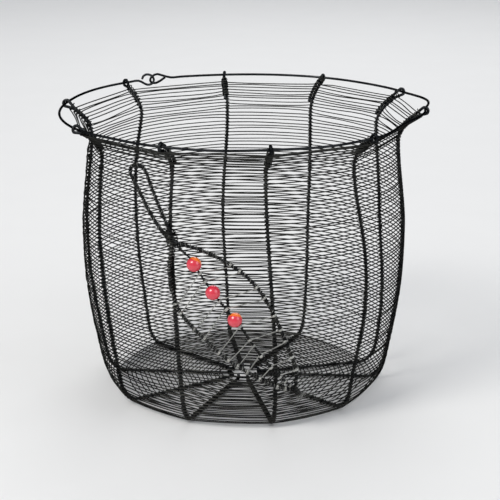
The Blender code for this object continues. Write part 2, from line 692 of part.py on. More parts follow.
def main():
    clear_scene()
    black = material("black_wire", (0.022, 0.023, 0.025), 0.5, 0.8)
    thin = material("thin_black_wire", (0.03, 0.031, 0.033), 0.5, 0.8)
    bright = material("bright_wire", (0.35, 0.34, 0.32), 0.4, 0.9)
    pearl = material("red_bead", (0.62, 0.02, 0.07), 0.25, 0.0)

    rib_section = section(RIB, SIX_SIDES)
    rim_section = section(RIM, SIX_SIDES)
    ring_section = section(RING, SIX_SIDES)
    leaf_section = section(LEAF, SIX_SIDES)
    midrib_section = section(MIDRIB, SIX_SIDES)
    weave_section = section(WEAVE, THREE_SIDES)
    vein_section = section(VEIN, THREE_SIDES)
    tie_section = section(TIE, FOUR_SIDES)

    wall = Wall()
    make_rim(wall, rim_section, black)
    for number in range(len(RIB_TURN_SHARES)):
        wire(f"rib_{number + 1:02d}", rib_points(wall, number), rib_section, black)
    make_ring(ring_section, black)
    make_weave(wall, weave_section, thin)

    right = edge_points(RIGHT_EDGE_SHARES, LEAF_RIGHT_WIDTH, 1)
    left = edge_points(LEFT_EDGE_SHARES, LEAF_LEFT_WIDTH, -1)
    outline = outline_points(wall, left, right)
    midrib = midrib_points(wall)
    right_veins = vein_points(wall, RIGHT_VEIN_SHARES, right, 1)
    left_veins = vein_points(wall, LEFT_VEIN_SHARES, left, -1)
    wire("leaf_outline", outline, leaf_section, black)
    wire("leaf_midrib", midrib, midrib_section, black)
    wire("leaf_veins_right", right_veins, vein_section, bright)
    wire("leaf_veins_left", left_veins, vein_section, bright)
    for i, (centre, axis) in enumerate(bead_frames(wall)):
        make_bead(f"bead_{i + 1}", centre, axis, pearl)

    binding = tip_binding_points(wall)
    wire("leaf_tip_binding", binding, tie_section, thin)
    wires = ((outline, LEAF), (midrib, MIDRIB), (right_veins, VEIN), (left_veins, VEIN), (binding, TIE))
    right_tie = crossing_height(wall, leaf_edge_in_space(wall, right), 0)
    left_tie = crossing_height(wall, leaf_edge_in_space(wall, left)[::-1], 9)
    make_tie(wall, "leaf_tie_neck", 9, LEAF_NECK_HEIGHT + NECK_TIE_RISE, wires, tie_section, thin)
    make_tie(wall, "leaf_tie_right", 0, right_tie, wires, tie_section, thin)
    make_tie(wall, "leaf_tie_left", 9, left_tie, wires, tie_section, thin)


main()
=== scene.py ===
"""Looks of the woven wire onion basket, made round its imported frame.

Every wire is drawn by pushing a small ring along the wire's middle line. The thin weave wire takes a full turn
round each upright in every row. Lengths are in metres. The front is -Y, and azimuths are counted from the front
towards +X. A place on the wall is named by its azimuth and by how far along an upright it is, from the middle
of the base up to the rim.
"""

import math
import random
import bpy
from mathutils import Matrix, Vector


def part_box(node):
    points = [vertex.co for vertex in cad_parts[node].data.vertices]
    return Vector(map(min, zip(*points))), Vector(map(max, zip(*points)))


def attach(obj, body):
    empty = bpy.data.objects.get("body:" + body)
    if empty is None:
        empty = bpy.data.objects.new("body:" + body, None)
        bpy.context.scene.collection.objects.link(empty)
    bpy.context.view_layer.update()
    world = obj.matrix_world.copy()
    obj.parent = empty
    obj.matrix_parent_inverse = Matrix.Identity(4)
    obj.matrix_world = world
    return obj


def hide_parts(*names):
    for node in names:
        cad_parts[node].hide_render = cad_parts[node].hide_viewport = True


bl_info = {
    "name": "Wire Onion Basket",
    "version": (1, 0, 0),
    "blender": (4, 5, 0),
    "location": "3D View > Sidebar > Basket",
    "description": "Draws the wires, beads and finishes of a woven wire onion basket",
    "category": "Object",
}

from bisect import bisect
from typing import NamedTuple

import bmesh
import bpy
from mathutils import Euler, Matrix, Vector
from mathutils.geometry import interpolate_bezier

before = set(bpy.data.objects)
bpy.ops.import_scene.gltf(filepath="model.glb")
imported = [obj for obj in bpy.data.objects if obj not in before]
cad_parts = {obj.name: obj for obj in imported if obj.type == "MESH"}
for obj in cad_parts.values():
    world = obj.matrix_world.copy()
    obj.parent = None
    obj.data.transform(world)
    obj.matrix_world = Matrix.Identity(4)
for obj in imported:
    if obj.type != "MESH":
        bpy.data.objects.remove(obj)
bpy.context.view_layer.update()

# The basket's line, as the solids have it: to the middle of the upright wires.
RIM_RADIUS = 0.140
RIM_HEIGHT = 0.2175
NECK_RADIUS = 0.1175
NECK_HEIGHT = 0.193
BULGE_RADIUS = 0.1228
BULGE_HEIGHT = 0.128
CORNER_TOP_RADIUS = 0.1103
CORNER_TOP_HEIGHT = 0.0165
BASE_RADIUS = 0.0945
BASE_LEVEL = 0.00095
BASE_RING_RADIUS = 0.013
FLARE_ANGLE = math.radians(54)
CORNER_LEAN = math.radians(10)
WALL_PULL_SHARES = (0.34, 0.45, 0.28, 0.36)
RIB_TURN_SHARES = (0.0321, 0.1260, 0.2372, 0.2894, 0.4230, 0.5201, 0.6295, 0.7353, 0.8395, 0.9332)
RIB_TILT_SHARES = (-0.0113, -0.0086, 0.0012, 0.0317, -0.0012, -0.0026, 0.0006, 0.0028, -0.0135, -0.0049)
RIB_BOW_SHARES = (-0.0004, 0.0080, -0.0003, 0.0145, 0.0039, 0.0042, -0.0003, 0.0, 0.0055, 0.0030)
RIB_LEAN_SHARES = (0.0006, -0.0018, -0.0015, 0.0013, -0.0010, 0.0004, -0.0114, -0.0145, 0.0074, 0.0046)
RIM_REACH_SHARES = (-0.011, -0.016, -0.018, 0.006, 0.0, -0.007, 0.018, -0.010, -0.011, -0.014)
RIM_BOW_SHARES = (0.014, -0.055, 0.044, -0.007, 0.0, 0.0, 0.004, 0.0, -0.018, 0.011)
PROFILE_STEPS = 60

# Upright wires: how high they lie on the base, on the thin wire wound round them, and their ends.
BASE_LIFT = 0.00106
LIFT_FADE = 0.008
RING_LEVEL = 0.0034
BASE_HOOK_DEGREES = (-250, -215, -180, -145, -115)
EYE_LENGTH = 0.0080
EYE_REACH = 0.0026
EYE_RISE = -0.0005
TAIL_LENGTH = 0.0190
TAIL_SWING = math.radians(50)
EYE_DEGREES = (0, 30, 60, 90, 120, 150, 180)
EYE_LEG_SHARE = 0.9
TAIL_OUT_SHARE = 1.05
TAIL_STEPS = 6
HOOK_LEAD = 0.004
FOOT_LEAD = 0.002
UPRIGHT_STEPS = 90
UPRIGHT_TONES = tuple(0.2 + 0.06 * number for number in range(len(RIB_TURN_SHARES)))

# Closure of the rim wire.
CLOSURE_TURN_SHARE = 0.5897
HOOK_LENGTH = 0.0108
HOOK_HEIGHT = 0.0088
HOOK_OVERLAP = 0.0032
HOOK_LEADS = (0.0035, 0.0075)
LONG_TIP = ((0.0125, -0.0003), (0.0100, 0.0016))
HOOK_TILT = math.radians(24)
RIM_HOOK_DEGREES = (15, 50, 85, 120, 150, 180, 210, 240, 275, 310)

# Rows of the weave: where they start and end, and the turns they take round the uprights.
BASE_ROWS_START = 0.0172
BASE_ROWS_END_ANGLE = math.radians(20)
WALL_ROWS_START_ANGLE = math.radians(27)
WALL_LENGTHS = 8
RIM_ROW_GAP = 0.0038
CORNER_PULL = 0.5
WALL_ROWS_BELOW_EYES = 0.0084
TURN_LEAD = 0.00094
TURNS = 1
END_TURNS = 4
TURN_START = math.radians(-12)
TURN_STEPS = 10

# Spans of the weave between two uprights, and how far they stray.
SPAN_STEPS = 6
SPAN_LEAD_SHARE = 0.06
ARCH_POWER = 0.7
ROW_TOUCH = 0.00068
PASS_DRIFT = 0.00012
FLARE_PASS_DRIFT = 0.0003
BULGE_DRIFT = 0.00018
WAVE_SHARE = 0.35
KEPT_DRIFT_SHARE = 0.35
FLARE_FADE = (0.012, 0.016)
BASE_PULL_START_SHARE = 0.7
LOW_ROWS_HEIGHTS = (0.03, 0.004)
LOW_CALM_SHARE = 0.5

# Leaf, laid flat on the unrolled wall, as the solids have it.
LEAF_NECK_ARC = -0.0497
LEAF_NECK_HEIGHT = 0.1458
LEAF_LENGTH = 0.1435
LEAF_RIGHT_WIDTH = 0.0272
LEAF_LEFT_WIDTH = 0.0281
LEAF_TILT = math.radians(38.3)
STEM_LENGTH = 0.0625
STEM_WIDTH = 0.0133
STEM_TILT = math.radians(32.5)
LEAF_TIP_LIFT = 0.0020
LIFT_SHARES = (0.85, 0.98)
TIP_SHARES = (0.985, 1.03)
STEM_FOOT_SHARE = 0.03
RIGHT_EDGE_SHARES = ((0.045, 0.235), (0.105, 0.49), (0.20, 0.77), (0.33, 0.98), (0.46, 0.99), (0.60, 0.845),
                     (0.77, 0.585), (0.90, 0.37))
LEFT_EDGE_SHARES = ((0.025, 0.17), (0.09, 0.50), (0.18, 0.80), (0.30, 1.0), (0.47, 0.945), (0.63, 0.83),
                    (0.78, 0.60), (0.90, 0.35))
STEM_SHARES = ((0.12, -0.24), (0.42, -0.48), (0.76, -0.58), (0.94, -0.66), (1.0, -0.38), (1.0, -0.02),
               (0.975, 0.30), (0.89, 0.42), (0.64, 0.28), (0.40, 0.19), (0.14, 0.13))
LEAF_OUT = 0.00346
EDGE_PAIR = 0.00097
BEAD_DIAMETER = 0.0105
BEAD_OUT = 0.00788
BEAD_ALONG_SHARES = (0.142, 0.302, 0.472)
BEAD_ACROSS_SHARES = (0.185, 0.102, 0.071)
MIDRIB_START_SHARE = -0.002
MIDRIB_LOWER_SHARES = ((0.70, -0.06), (0.86, -0.07), (0.97, -0.01), (1.03, 0.0))
MIDRIB_TIP_OUT = 0.00719
RIGHT_VEIN_SHARES = (0.190, 0.235, 0.355, 0.410, 0.520, 0.610, 0.700, 0.790, 0.870)
LEFT_VEIN_SHARES = (0.185, 0.235, 0.350, 0.405, 0.520, 0.580, 0.640, 0.700, 0.785, 0.900, 0.940)
VEIN_SWEEP = math.radians(18)
VEIN_END_TRIES = 4

# Wire wound on the leaf's wires. PHASE_RANGE is about one turn, and a winding starts anywhere in it.
WINDING_LEAD = 0.001
WINDING_END = 0.004
WINDING_UNEVEN_SHARES = (0.7, 1.3)
WINDING_NEST_SHARE = 0.8
DARK_PITCHES = (0.0013, 0.0015, 0.0014)
LIGHT_PITCHES = (0.0026, 0.0050, 0.0068)
PHASE_RANGE = 6.0
TWIST_PITCH = 0.0046
STRAND_OUT_SHARE = 0.52
BINDING_PITCH = 0.0021
VEIN_TURNS = 2
VEIN_EDGE_LEAD = 0.0008
VEIN_ROOT_LEAD = 0.0005
VEIN_SAG = 0.0006

# Beads: their hole, as a share of one strand, and each one's cap, as its way from the middle and its spread.
BEAD_LEAD = 0.0004
BEAD_HOLE_SHARE = 1.25
BEAD_ARC_STEPS = 24
BEAD_SPIN_STEPS = 40
BEAD_CAPS = (((0.45, 0.55, 0.75), 0.50), ((0.9, 0.3, 0.3), -0.6), ((0.12, 0.55, 0.80), 0.47))

# Ties: each one's piece, node and upright, counted from 0, and its windings with their start, the climb of each
# turn and how many turns they take.
TIES = (
    ("NeckBinding", "leaf_tie_neck", 9, ((0.0070, -0.0030, 14.0), (-0.0350, 0.0030, 14.0),
                                         (-0.0055, 0.0017, 6.0), (0.0045, -0.0019, 5.0))),
    ("RightTie", "leaf_tie_right", 0, ((-0.0025, 0.0009, 5.0), (0.0020, -0.0012, 3.0))),
    ("LeftTie", "leaf_tie_left", 9, ((-0.0020, 0.0009, 4.0), (0.0018, -0.0012, 3.0))),
)
TIE_REACH = 0.0042
TIE_STEPS = 14
TIE_SQUARE_POWER = 0.4

# Binding of the leaf's tip, and the curled wire ends on it.
TIP_START_SHARE = -0.03
TIP_RUN_SHARE = 0.08
TIP_STEPS = 10
TIP_OUT = 0.0009
TIP_LEAD = 0.002
TIP_PITCH = 0.0008
TIP_TURNS = 9
TIP_REACH = 0.0021
CURLS = 7
CURL_STEPS = 12
CURL_SIZES = (0.0014, 0.0026)
CURL_LIFT = 0.002
CURL_UNEVEN_SHARES = (0.9, 1.1)
CURL_PLACE_SHARE = 1.02
CURL_CREEP = 0.0004
CURL_OUT = 0.001
CURL_SWELL = 0.0016
CURL_SWELL_RATE = 0.7
CURL_SWELL_SHIFT = 900.0

# Stage: the floor, the world's light and the lamps, each with its place, aim, size, power and colour.
FLOOR_RADIUS = 8.0
FLOOR_DROP = 0.0002
FLOOR_PALER = 1.03
WORLD_COLOUR = (0.93, 0.95, 1.0, 1.0)
WORLD_STRENGTH = 0.52
LAMPS = (
    ("key_lamp", (-1.3, -1.2, 1.9), (0, 0, 0.1), 1.0, 33.0, (1.0, 0.98, 0.95)),
    ("fill_lamp", (1.6, -1.0, 1.2), (0, 0, 0.1), 1.6, 11.0, (0.93, 0.96, 1.0)),
    ("back_lamp", (0.2, 1.7, 1.6), (0, 0, 0.12), 1.4, 13.0, (1.0, 1.0, 1.0)),
)

# The camera's place, aim and lens.
CAMERA_PLACE = (0.0, -1.15, 0.4584)
CAMERA_PITCH = math.radians(17.085)
CAMERA_YAW = math.radians(-0.24)
CAMERA_ROLL = math.radians(-0.23)
CAMERA_LENS = 111.0
CAMERA_SENSOR = 36.0
CAMERA_CLIP = (0.01, 40.0)

# How meshes are made: the rings in one stretch of a wire, how near points weld, and the sharpest smooth edge.
STRETCH_RINGS = 100
WELD = 2e-6
SHARP_ANGLE = math.radians(75)


# Settings.


def length(name, description, default):
    return bpy.props.FloatProperty(
        name=name, description=description, default=default, min=0.0, precision=5, unit="LENGTH")


def share(name, description, default):
    return bpy.props.FloatProperty(
        name=name, description=description, default=default, min=0.0, max=1.0, subtype="FACTOR")


def colour(name, description, default):
    return bpy.props.FloatVectorProperty(
        name=name, description=description, default=default, size=3, min=0.0, max=1.0, subtype="COLOR")


class BasketWires(bpy.types.PropertyGroup):
    """Diameters of the round wires."""

    upright: length("Uprights", "Diameter of the ten upright wires", 0.00225)
    rim: length("Rim", "Diameter of the rim wire", 0.0019)
    ring: length("Base ring", "Diameter of the ring in the middle of the base", 0.0016)
    weave: length("Weave", "Diameter of the thin wire that is woven round the uprights", 0.00088)
    leaf: length("Leaf", "Diameter of the leaf's outline wire", 0.0019)
    strand: length("Middle strand", "Diameter of each of the two strands of the leaf's middle wire", 0.0008)
    vein: length("Vein", "Diameter of the wire of the leaf's veins", 0.0008)
    winding: length("Winding", "Diameter of the dark wire wound round the leaf's wires", 0.0006)
    outer: length("Outer winding", "Diameter of the light wire wound over the dark one", 0.0004)


class BasketWeave(bpy.types.PropertyGroup):
    """How the rows of thin wire lie."""

    wall_pitch: length("Wall pitch", "Distance from row to row on the wall", 0.00285)
    base_pitch: length("Base pitch", "Distance from row to row on the base", 0.0034)
    wall_drift: length("Wall drift", "How far a row strays between two uprights of the wall", 0.00042)
    flare_drift: length("Flare drift", "How far a row strays between two uprights of the flare", 0.0009)
    wall_pull: share("Wall tension", "How far a span of the wall is pulled straight", 0.06)
    flare_pull: share("Flare tension", "How far a span of the flare is pulled straight", 1.0)
    seed: bpy.props.IntProperty(name="Seed", description="Start of the hand-made unevenness", default=11)


class BasketFinish(bpy.types.PropertyGroup):
    """Colours of the wires, the beads and the floor."""

    # Each drawn wire's second colour (glint, bare, bright, silver) is where its skin is rubbed: wear, and also
    # a painted glint.
    black: colour("Black wire", "Annealed skin of the stout wires", (0.009, 0.010, 0.0115))
    glint: colour("Worn black", "Where the black skin is rubbed", (0.045, 0.048, 0.050))
    thin: colour("Thin wire", "Skin of the thin woven wire", (0.013, 0.0135, 0.0145))
    bare_and_glint: colour("Bare wire", "Rubbed thin wire", (0.060, 0.060, 0.055))
    bright: colour("Bright wire", "Wire of the outer windings and of the curled ends", (0.27, 0.27, 0.255))
    dull: colour("Dull bright wire", "Tarnish on the bright wire", (0.085, 0.087, 0.082))
    silver: colour("Vein wire", "Wire of the leaf's veins", (0.50, 0.50, 0.47))
    grey: colour("Dull vein wire", "Tarnish on the wire of the veins", (0.20, 0.20, 0.19))
    pearl: colour("Bead", "Colour of the beads", (0.68, 0.001, 0.018))
    blush: colour("Bead blush", "Pale bloom of the beads", (0.82, 0.03, 0.10))
    cap: colour("Bead cap", "Colour at one side of two of the beads", (1.0, 0.19, 0.0))
    floor: colour("Floor", "Floor and backdrop", (0.80, 0.80, 0.79))


SETTINGS = {"basket_wires": BasketWires, "basket_weave": BasketWeave, "basket_finish": BasketFinish}


# Lines.


def bezier(start, start_way, end, end_way, pull_share, steps):
    """Points of a smooth span; its handles are this share of the straight distance."""
    reach = (end - start).length * pull_share
    return interpolate_bezier(start, start + start_way * reach, end - end_way * reach, end, steps)


def smooth(points, steps):
    """Points of a smooth open line through these points, with this many steps in each span.

    The handles at a point are a sixth of the way from the point before it to the point after it.
    """
    made = []
    for i in range(len(points) - 1):
        before = points[max(i - 1, 0)]
        start, end = points[i], points[i + 1]
        after = points[min(i + 2, len(points) - 1)]
        out, back = (end - before) / 6, (after - start) / 6
        made += interpolate_bezier(start, start + out, end - back, end, steps + 1)[:-1]
    return made + [points[-1]]


def eased(value, start, full):
    """0 up to start and 1 from full on, with a soft rise between them."""
    part = min(max((value - start) / (full - start), 0.0), 1.0)
    return part * part * (3 - 2 * part)


def ways(azimuth):
    """The way out from the basket's axis at this azimuth, and the level way to its right."""
    sine, cosine = math.sin(azimuth), math.cos(azimuth)
    return Vector((sine, -cosine, 0)), Vector((cosine, sine, 0))


def frames_along(points, closed=False):
    """Places to push a ring through: each faces along the line and turns no more than the line does."""
    steps = [(after - before).normalized() for before, after in zip(points, points[1:])]
    first, last = (steps[-1] + steps[0], steps[-1] + steps[0]) if closed else (steps[0], steps[-1])
    turned = [first.normalized()]
    turned += [(before + after).normalized() for before, after in zip(steps, steps[1:])]
    turned.append(last.normalized())
    facing = turned[0].to_track_quat("Z", "Y")
    frames = []
    for i, (point, way) in enumerate(zip(points, turned)):
        if i:
            facing = turned[i - 1].rotation_difference(way) @ facing
        frames.append(Matrix.Translation(point) @ facing.to_matrix().to_4x4())
    return frames


class Track:
    """A wire's middle line, which thinner wire can be wound round."""

    def __init__(self, points):
        self.frames = frames_along(points)
        self.run = [0.0]
        for before, after in zip(points, points[1:]):
            self.run.append(self.run[-1] + (after - before).length)
        self.length = self.run[-1]

    def at(self, distance):
        """The frame this far along the line."""
        i = min(max(bisect(self.run, distance) - 1, 0), len(self.run) - 2)
        part = (distance - self.run[i]) / (self.run[i + 1] - self.run[i])
        return self.frames[i].lerp(self.frames[i + 1], min(max(part, 0.0), 1.0))

    def nearest(self, point):
        """How far along the line it comes nearest to this point."""
        gaps = [(place.translation - point).length for place in self.frames]
        return self.run[gaps.index(min(gaps))]

    def wound(self, start, leads, reach, phase=0.0, steps=8):
        """Points of a wire wound round this one. leads holds how far each turn goes along it."""
        points = []
        distance, angle = start, phase
        for lead in leads:
            for _ in range(steps):
                points.append(self.at(distance) @ Vector((reach * math.cos(angle), reach * math.sin(angle), 0)))
                distance += lead / steps
                angle += 2 * math.pi / steps
        return points


# Pieces.


def as_mesh(form, name):
    """Makes a mesh of this bmesh, and frees it."""
    mesh = bpy.data.meshes.new(name)
    form.to_mesh(mesh)
    form.free()
    return mesh


def take_in(form, mesh):
    """Moves a mesh into this bmesh."""
    form.from_mesh(mesh)
    bpy.data.meshes.remove(mesh)


def placed(name, data):
    """A new object of the scene."""
    made = bpy.data.objects.new(name, data)
    bpy.context.scene.collection.objects.link(made)
    return made


def swept(points, radius, sides, closed=False, tone=0.5):
    """A round wire along these points, as a mesh. A ring is extruded from place to place.

    Its points carry how far along the wire they are, and the wire's own tone.
    """
    if closed:
        points = points + [points[0]]
    frames = frames_along(points, closed)
    whole = bmesh.new()
    run = 0.0
    for first in range(0, len(frames) - 1, STRETCH_RINGS):
        stretch = frames[first:first + STRETCH_RINGS + 1]
        form = bmesh.new()
        along = form.verts.layers.float.new("along")
        tones = form.verts.layers.float.new("tone")
        bmesh.ops.create_circle(form, segments=sides, radius=radius, matrix=stretch[0])
        for vert in form.verts:
            vert[along] = run
            vert[tones] = tone
        ring = list(form.edges)
        for before, after in zip(stretch, stretch[1:]):
            grown = bmesh.ops.extrude_edge_only(form, edges=ring)["geom"]
            ring = [made for made in grown if isinstance(made, bmesh.types.BMEdge)]
            moved = [made for made in grown if isinstance(made, bmesh.types.BMVert)]
            bmesh.ops.transform(form, matrix=after @ before.inverted(), verts=moved)
            run += (after.translation - before.translation).length
            for vert in moved:
                vert[along] = run
        take_in(whole, as_mesh(form, "stretch"))
    bmesh.ops.remove_doubles(whole, verts=whole.verts, dist=WELD)
    ends = [edge for edge in whole.edges if edge.is_boundary]
    if ends:
        bmesh.ops.holes_fill(whole, edges=ends, sides=sides)
    bmesh.ops.recalc_face_normals(whole, faces=whole.faces)
    return as_mesh(whole, "wire")


def finished(name, parts, finish, nodes=(), body="basket"):
    """Joins these meshes into one piece, which rides on its body and stands for its nodes."""
    whole = bmesh.new()
    for part in parts:
        take_in(whole, part)
    mesh = as_mesh(whole, name)
    mesh.shade_smooth()
    mesh.set_sharp_from_angle(angle=SHARP_ANGLE)
    mesh.materials.append(finish)
    made = placed(name, mesh)
    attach(made, body)
    if nodes:
        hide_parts(*nodes)


# The basket's line.


def rim_bay(azimuth):
    """The upright before this place on the rim, the one after it, and how far it is from one to the other."""
    turn = azimuth / (2 * math.pi)
    count = len(RIB_TURN_SHARES)
    tops = [sum(shares) for shares in zip(RIB_TURN_SHARES, RIB_TILT_SHARES, RIB_LEAN_SHARES)]
    before = max(range(count), key=lambda n: -((turn - tops[n]) % 1.0))
    after = (before + 1) % count
    return before, after, ((turn - tops[before]) % 1.0) / ((tops[after] - tops[before]) % 1.0)


def mouth_reach(azimuth):
    """How much further out than its mean radius the mouth is here, going by the tops of the uprights."""
    before, after, part = rim_bay(azimuth)
    low, high = RIM_REACH_SHARES[before], RIM_REACH_SHARES[after]
    return RIM_RADIUS * (low + (high - low) * eased(part, 0, 1))


class Wall:
    """The line that every upright follows, from the middle of the base up to the rim."""

    def __init__(self):
        up, out = Vector((0, 1)), Vector((1, 0))
        lean = Vector((math.sin(CORNER_LEAN), math.cos(CORNER_LEAN)))
        flare = Vector((math.sin(FLARE_ANGLE), math.cos(FLARE_ANGLE)))
        knots = (
            (Vector((BASE_RADIUS, BASE_LEVEL)), out),
            (Vector((CORNER_TOP_RADIUS, CORNER_TOP_HEIGHT)), lean),
            (Vector((BULGE_RADIUS, BULGE_HEIGHT)), up),
            (Vector((NECK_RADIUS, NECK_HEIGHT)), up),
            (Vector((RIM_RADIUS, RIM_HEIGHT)), flare),
        )
        self.points = [Vector((0, BASE_LEVEL)), knots[0][0]]
        for (start, start_way), (end, end_way), pull_share in zip(knots, knots[1:], WALL_PULL_SHARES):
            self.points += bezier(start, start_way, end, end_way, pull_share, PROFILE_STEPS)[1:]
        self.along = [0.0]
        for before, after in zip(self.points, self.points[1:]):
            self.along.append(self.along[-1] + (after - before).length)
        self.rim = self.along[-1]
        self.corner = self.at_height(CORNER_TOP_HEIGHT)
        self.neck = self.at_height(NECK_HEIGHT)

    def place(self, azimuth, along, out=0.0, aside=0.0, inward=0.0):
        """A point in space: out of the wall, aside on a level line, and inward towards the basket's axis."""
        i = min(max(bisect(self.along, along) - 1, 0), len(self.along) - 2)
        step = self.points[i + 1] - self.points[i]
        way = step.normalized()
        point = self.points[i] + step * (along - self.along[i]) / (self.along[i + 1] - self.along[i])
        flat = point + Vector((way.y, -way.x)) * out
        radial, level = ways(azimuth)
        uneven = mouth_reach(azimuth) * eased(along, self.neck, self.rim)
        return radial * (flat.x + uneven - inward) + level * aside + Vector((0, 0, flat.y))

    def radius(self, along):
        """How far from the basket's axis the wall is at the front, this far along."""
        return self.place(0.0, along).xy.length

    def at_height(self, height):
        """How far along the wall this height is reached."""
        for i in range(len(self.points) - 1):
            low, high = self.points[i].y, self.points[i + 1].y
            if low <= height < high:
                return self.along[i] + (height - low) / (high - low) * (self.along[i + 1] - self.along[i])
        return self.along[-1]

    def at_slope(self, angle):
        """How far along the wall it first rises at this angle from the level."""
        for i in range(len(self.points) - 1):
            step = self.points[i + 1] - self.points[i]
            if math.atan2(step.y, step.x) >= angle:
                return self.along[i]
        return self.along[-1]


WALL = Wall()


def rib_azimuth(number, along):
    """Azimuth of an upright, which sways a little up the wall and in the flare."""
    part = min(max((along - WALL.corner) / (WALL.neck - WALL.corner), 0.0), 1.0)
    tilt = RIB_TILT_SHARES[number] * eased(along, WALL.corner, WALL.neck)
    bow = RIB_BOW_SHARES[number] * math.sin(math.pi * part) ** 2
    lean = RIB_LEAN_SHARES[number] * eased(along, 2 * WALL.neck - WALL.rim, WALL.rim)
    return 2 * math.pi * (RIB_TURN_SHARES[number] + tilt + bow + lean)


def rib_out(along):
    """On the base the uprights lie a little inside the solids' line, on the wire wound round them."""
    return -BASE_LIFT * (1 - eased(along, BASE_RADIUS, BASE_RADIUS + LIFT_FADE))


# Finishes.


class Drawn(NamedTuple):
    """A finish of drawn wire. skin and rubbed name its two colours, and roughness holds what goes with each.
    The rubbed colour marks wear and is also a painted glint.

    mirror is how much the sides of the wire mirror, which is little where its skin is matt.
    """

    material: str
    slot: str
    skin: str
    rubbed: str
    patch_scale: float
    wear: float
    roughness: tuple
    mirror: float
    mark_length: float


BLACK = Drawn("annealed_wire", "black_wire", "black", "glint", 70.0, 0.35, (0.44, 0.34), 0.2, 0.012)
THIN = Drawn("thin_annealed_wire", "thin_black_wire", "thin", "bare_and_glint", 90.0, 0.45, (0.40, 0.32), 0.25, 0.02)
BRIGHT = Drawn("tarnished_wire", "bright_wire", "dull", "bright", 120.0, 0.6, (0.42, 0.30), 0.9, 0.004)
SILVERY = Drawn("silvery_wire", "bright_wire", "grey", "silver", 120.0, 0.6, (0.42, 0.30), 1.0, 0.004)

# Sockets of a Mix node that mixes colours: its factor, its two colours and its result.
MIX_FACTOR = 0
MIX_COLOURS = (6, 7)
MIX_RESULT = 2


def add(tree, kind, **settings):
    """A new node with these settings."""
    made = tree.nodes.new(kind)
    for name, value in settings.items():
        setattr(made, name, value)
    return made


def join(tree, source, socket):
    """Links another socket to this one, or sets this one to a value."""
    if isinstance(source, bpy.types.NodeSocket):
        tree.links.new(source, socket)
    else:
        socket.default_value = source


def feed(tree, target, **sources):
    """Links or sets sockets of a node. Each is named by its words, with _ for a space."""
    for name, source in sources.items():
        join(tree, source, target.inputs[name.replace("_", " ")])


def noise(tree, vector, scale, detail, distortion=0.0):
    """A cloudy pattern between 0 and 1."""
    made = add(tree, "ShaderNodeTexNoise")
    feed(tree, made, Vector=vector, Scale=scale, Detail=detail, Distortion=distortion)
    return made.outputs["Fac"]


def ranged(tree, value, span, to=(0.0, 1.0)):
    """This value, with the ends of a span moved to other ends."""
    made = add(tree, "ShaderNodeMapRange")
    feed(tree, made, Value=value, From_Min=span[0], From_Max=span[1], To_Min=to[0], To_Max=to[1])
    return made.outputs["Result"]


def worked(tree, operation, *sources, use_clamp=False):
    """The result of a Math node, from sockets or numbers."""
    made = add(tree, "ShaderNodeMath", operation=operation, use_clamp=use_clamp)
    for source, socket in zip(sources, made.inputs):
        join(tree, source, socket)
    return made.outputs["Value"]


def mixed_colour(tree, factor, *colours):
    """A mix of two colours, each of them a socket or three numbers."""
    made = add(tree, "ShaderNodeMix", data_type="RGBA")
    join(tree, factor, made.inputs[MIX_FACTOR])
    for number, colour_source in zip(MIX_COLOURS, colours):
        linked = isinstance(colour_source, bpy.types.NodeSocket)
        join(tree, colour_source if linked else (*colour_source, 1.0), made.inputs[number])
    return made.outputs[MIX_RESULT]


def group(name, inputs, outputs):
    """An empty shader node group with these sockets, and its two end nodes."""
    tree = bpy.data.node_groups.new(name, "ShaderNodeTree")
    for socket, kind, value in inputs:
        made = tree.interface.new_socket(socket, in_out="INPUT", socket_type=kind)
        if value is not None:
            made.default_value = value
    for socket in outputs:
        tree.interface.new_socket(socket, in_out="OUTPUT", socket_type="NodeSocketFloat")
    return tree, add(tree, "NodeGroupInput").outputs, add(tree, "NodeGroupOutput")


def grouped(tree, name, maker):
    """A node that holds this group, which is made when it is first wanted."""
    made = add(tree, "ShaderNodeGroup")
    made.node_tree = bpy.data.node_groups.get(name) or maker()
    return made


def wear_and_glint_group():
    """Patches where handling has rubbed the skin of a wire, which are also painted glints, and the fine tooth
    of that skin.
    """
    tree, given, end = group(
        "wire_wear_and_glint",
        [("Vector", "NodeSocketVector", None), ("Patch Scale", "NodeSocketFloat", 60.0),
         ("Wear", "NodeSocketFloat", 0.5)],
        ["Worn", "Tooth"])
    tooth_share, wear_share = 0.35, 0.5
    patches = noise(tree, given["Vector"], given["Patch Scale"], detail=3.0)
    tooth = noise(tree, given["Vector"], scale=2600.0, detail=2.0)
    both = worked(tree, "MULTIPLY_ADD", tooth, tooth_share, patches)
    shifted = worked(tree, "MULTIPLY_ADD", given["Wear"], wear_share, both)
    feed(tree, end, Worn=ranged(tree, shifted, (0.78, 1.12)), Tooth=tooth)
    return tree


def marks_and_glints_group():
    """Faint light and dark lengths along a wire: marks of drawing and bending, and painted glints where they
    are light.
    """
    tree, given, end = group(
        "marks_and_glints",
        [("Along", "NodeSocketFloat", 0.0), ("Tone", "NodeSocketFloat", 0.5),
         ("Mark Length", "NodeSocketFloat", 0.01)],
        ["Marks"])
    tone_share = 0.6
    place = add(tree, "ShaderNodeCombineXYZ")
    feed(tree, place, X=worked(tree, "DIVIDE", given["Along"], given["Mark Length"]), Y=given["Tone"])
    marks = noise(tree, place.outputs["Vector"], scale=3.0, detail=2.0)
    spread = ranged(tree, marks, (0.3, 0.7), (-0.3, 0.7))
    feed(tree, end, Marks=worked(tree, "MULTIPLY_ADD", given["Tone"], tone_share, spread))
    return tree


def new_material(name):
    """A new material, its tree, its shader, and the place on the object that its patterns follow."""
    made = bpy.data.materials.new(name)
    made.use_nodes = True
    tree = made.node_tree
    return made, tree, tree.nodes["Principled BSDF"], add(tree, "ShaderNodeTexCoord").outputs["Object"]


def attribute(tree, name):
    """A value that is stored at the points of the mesh."""
    return add(tree, "ShaderNodeAttribute", attribute_name=name).outputs["Fac"]


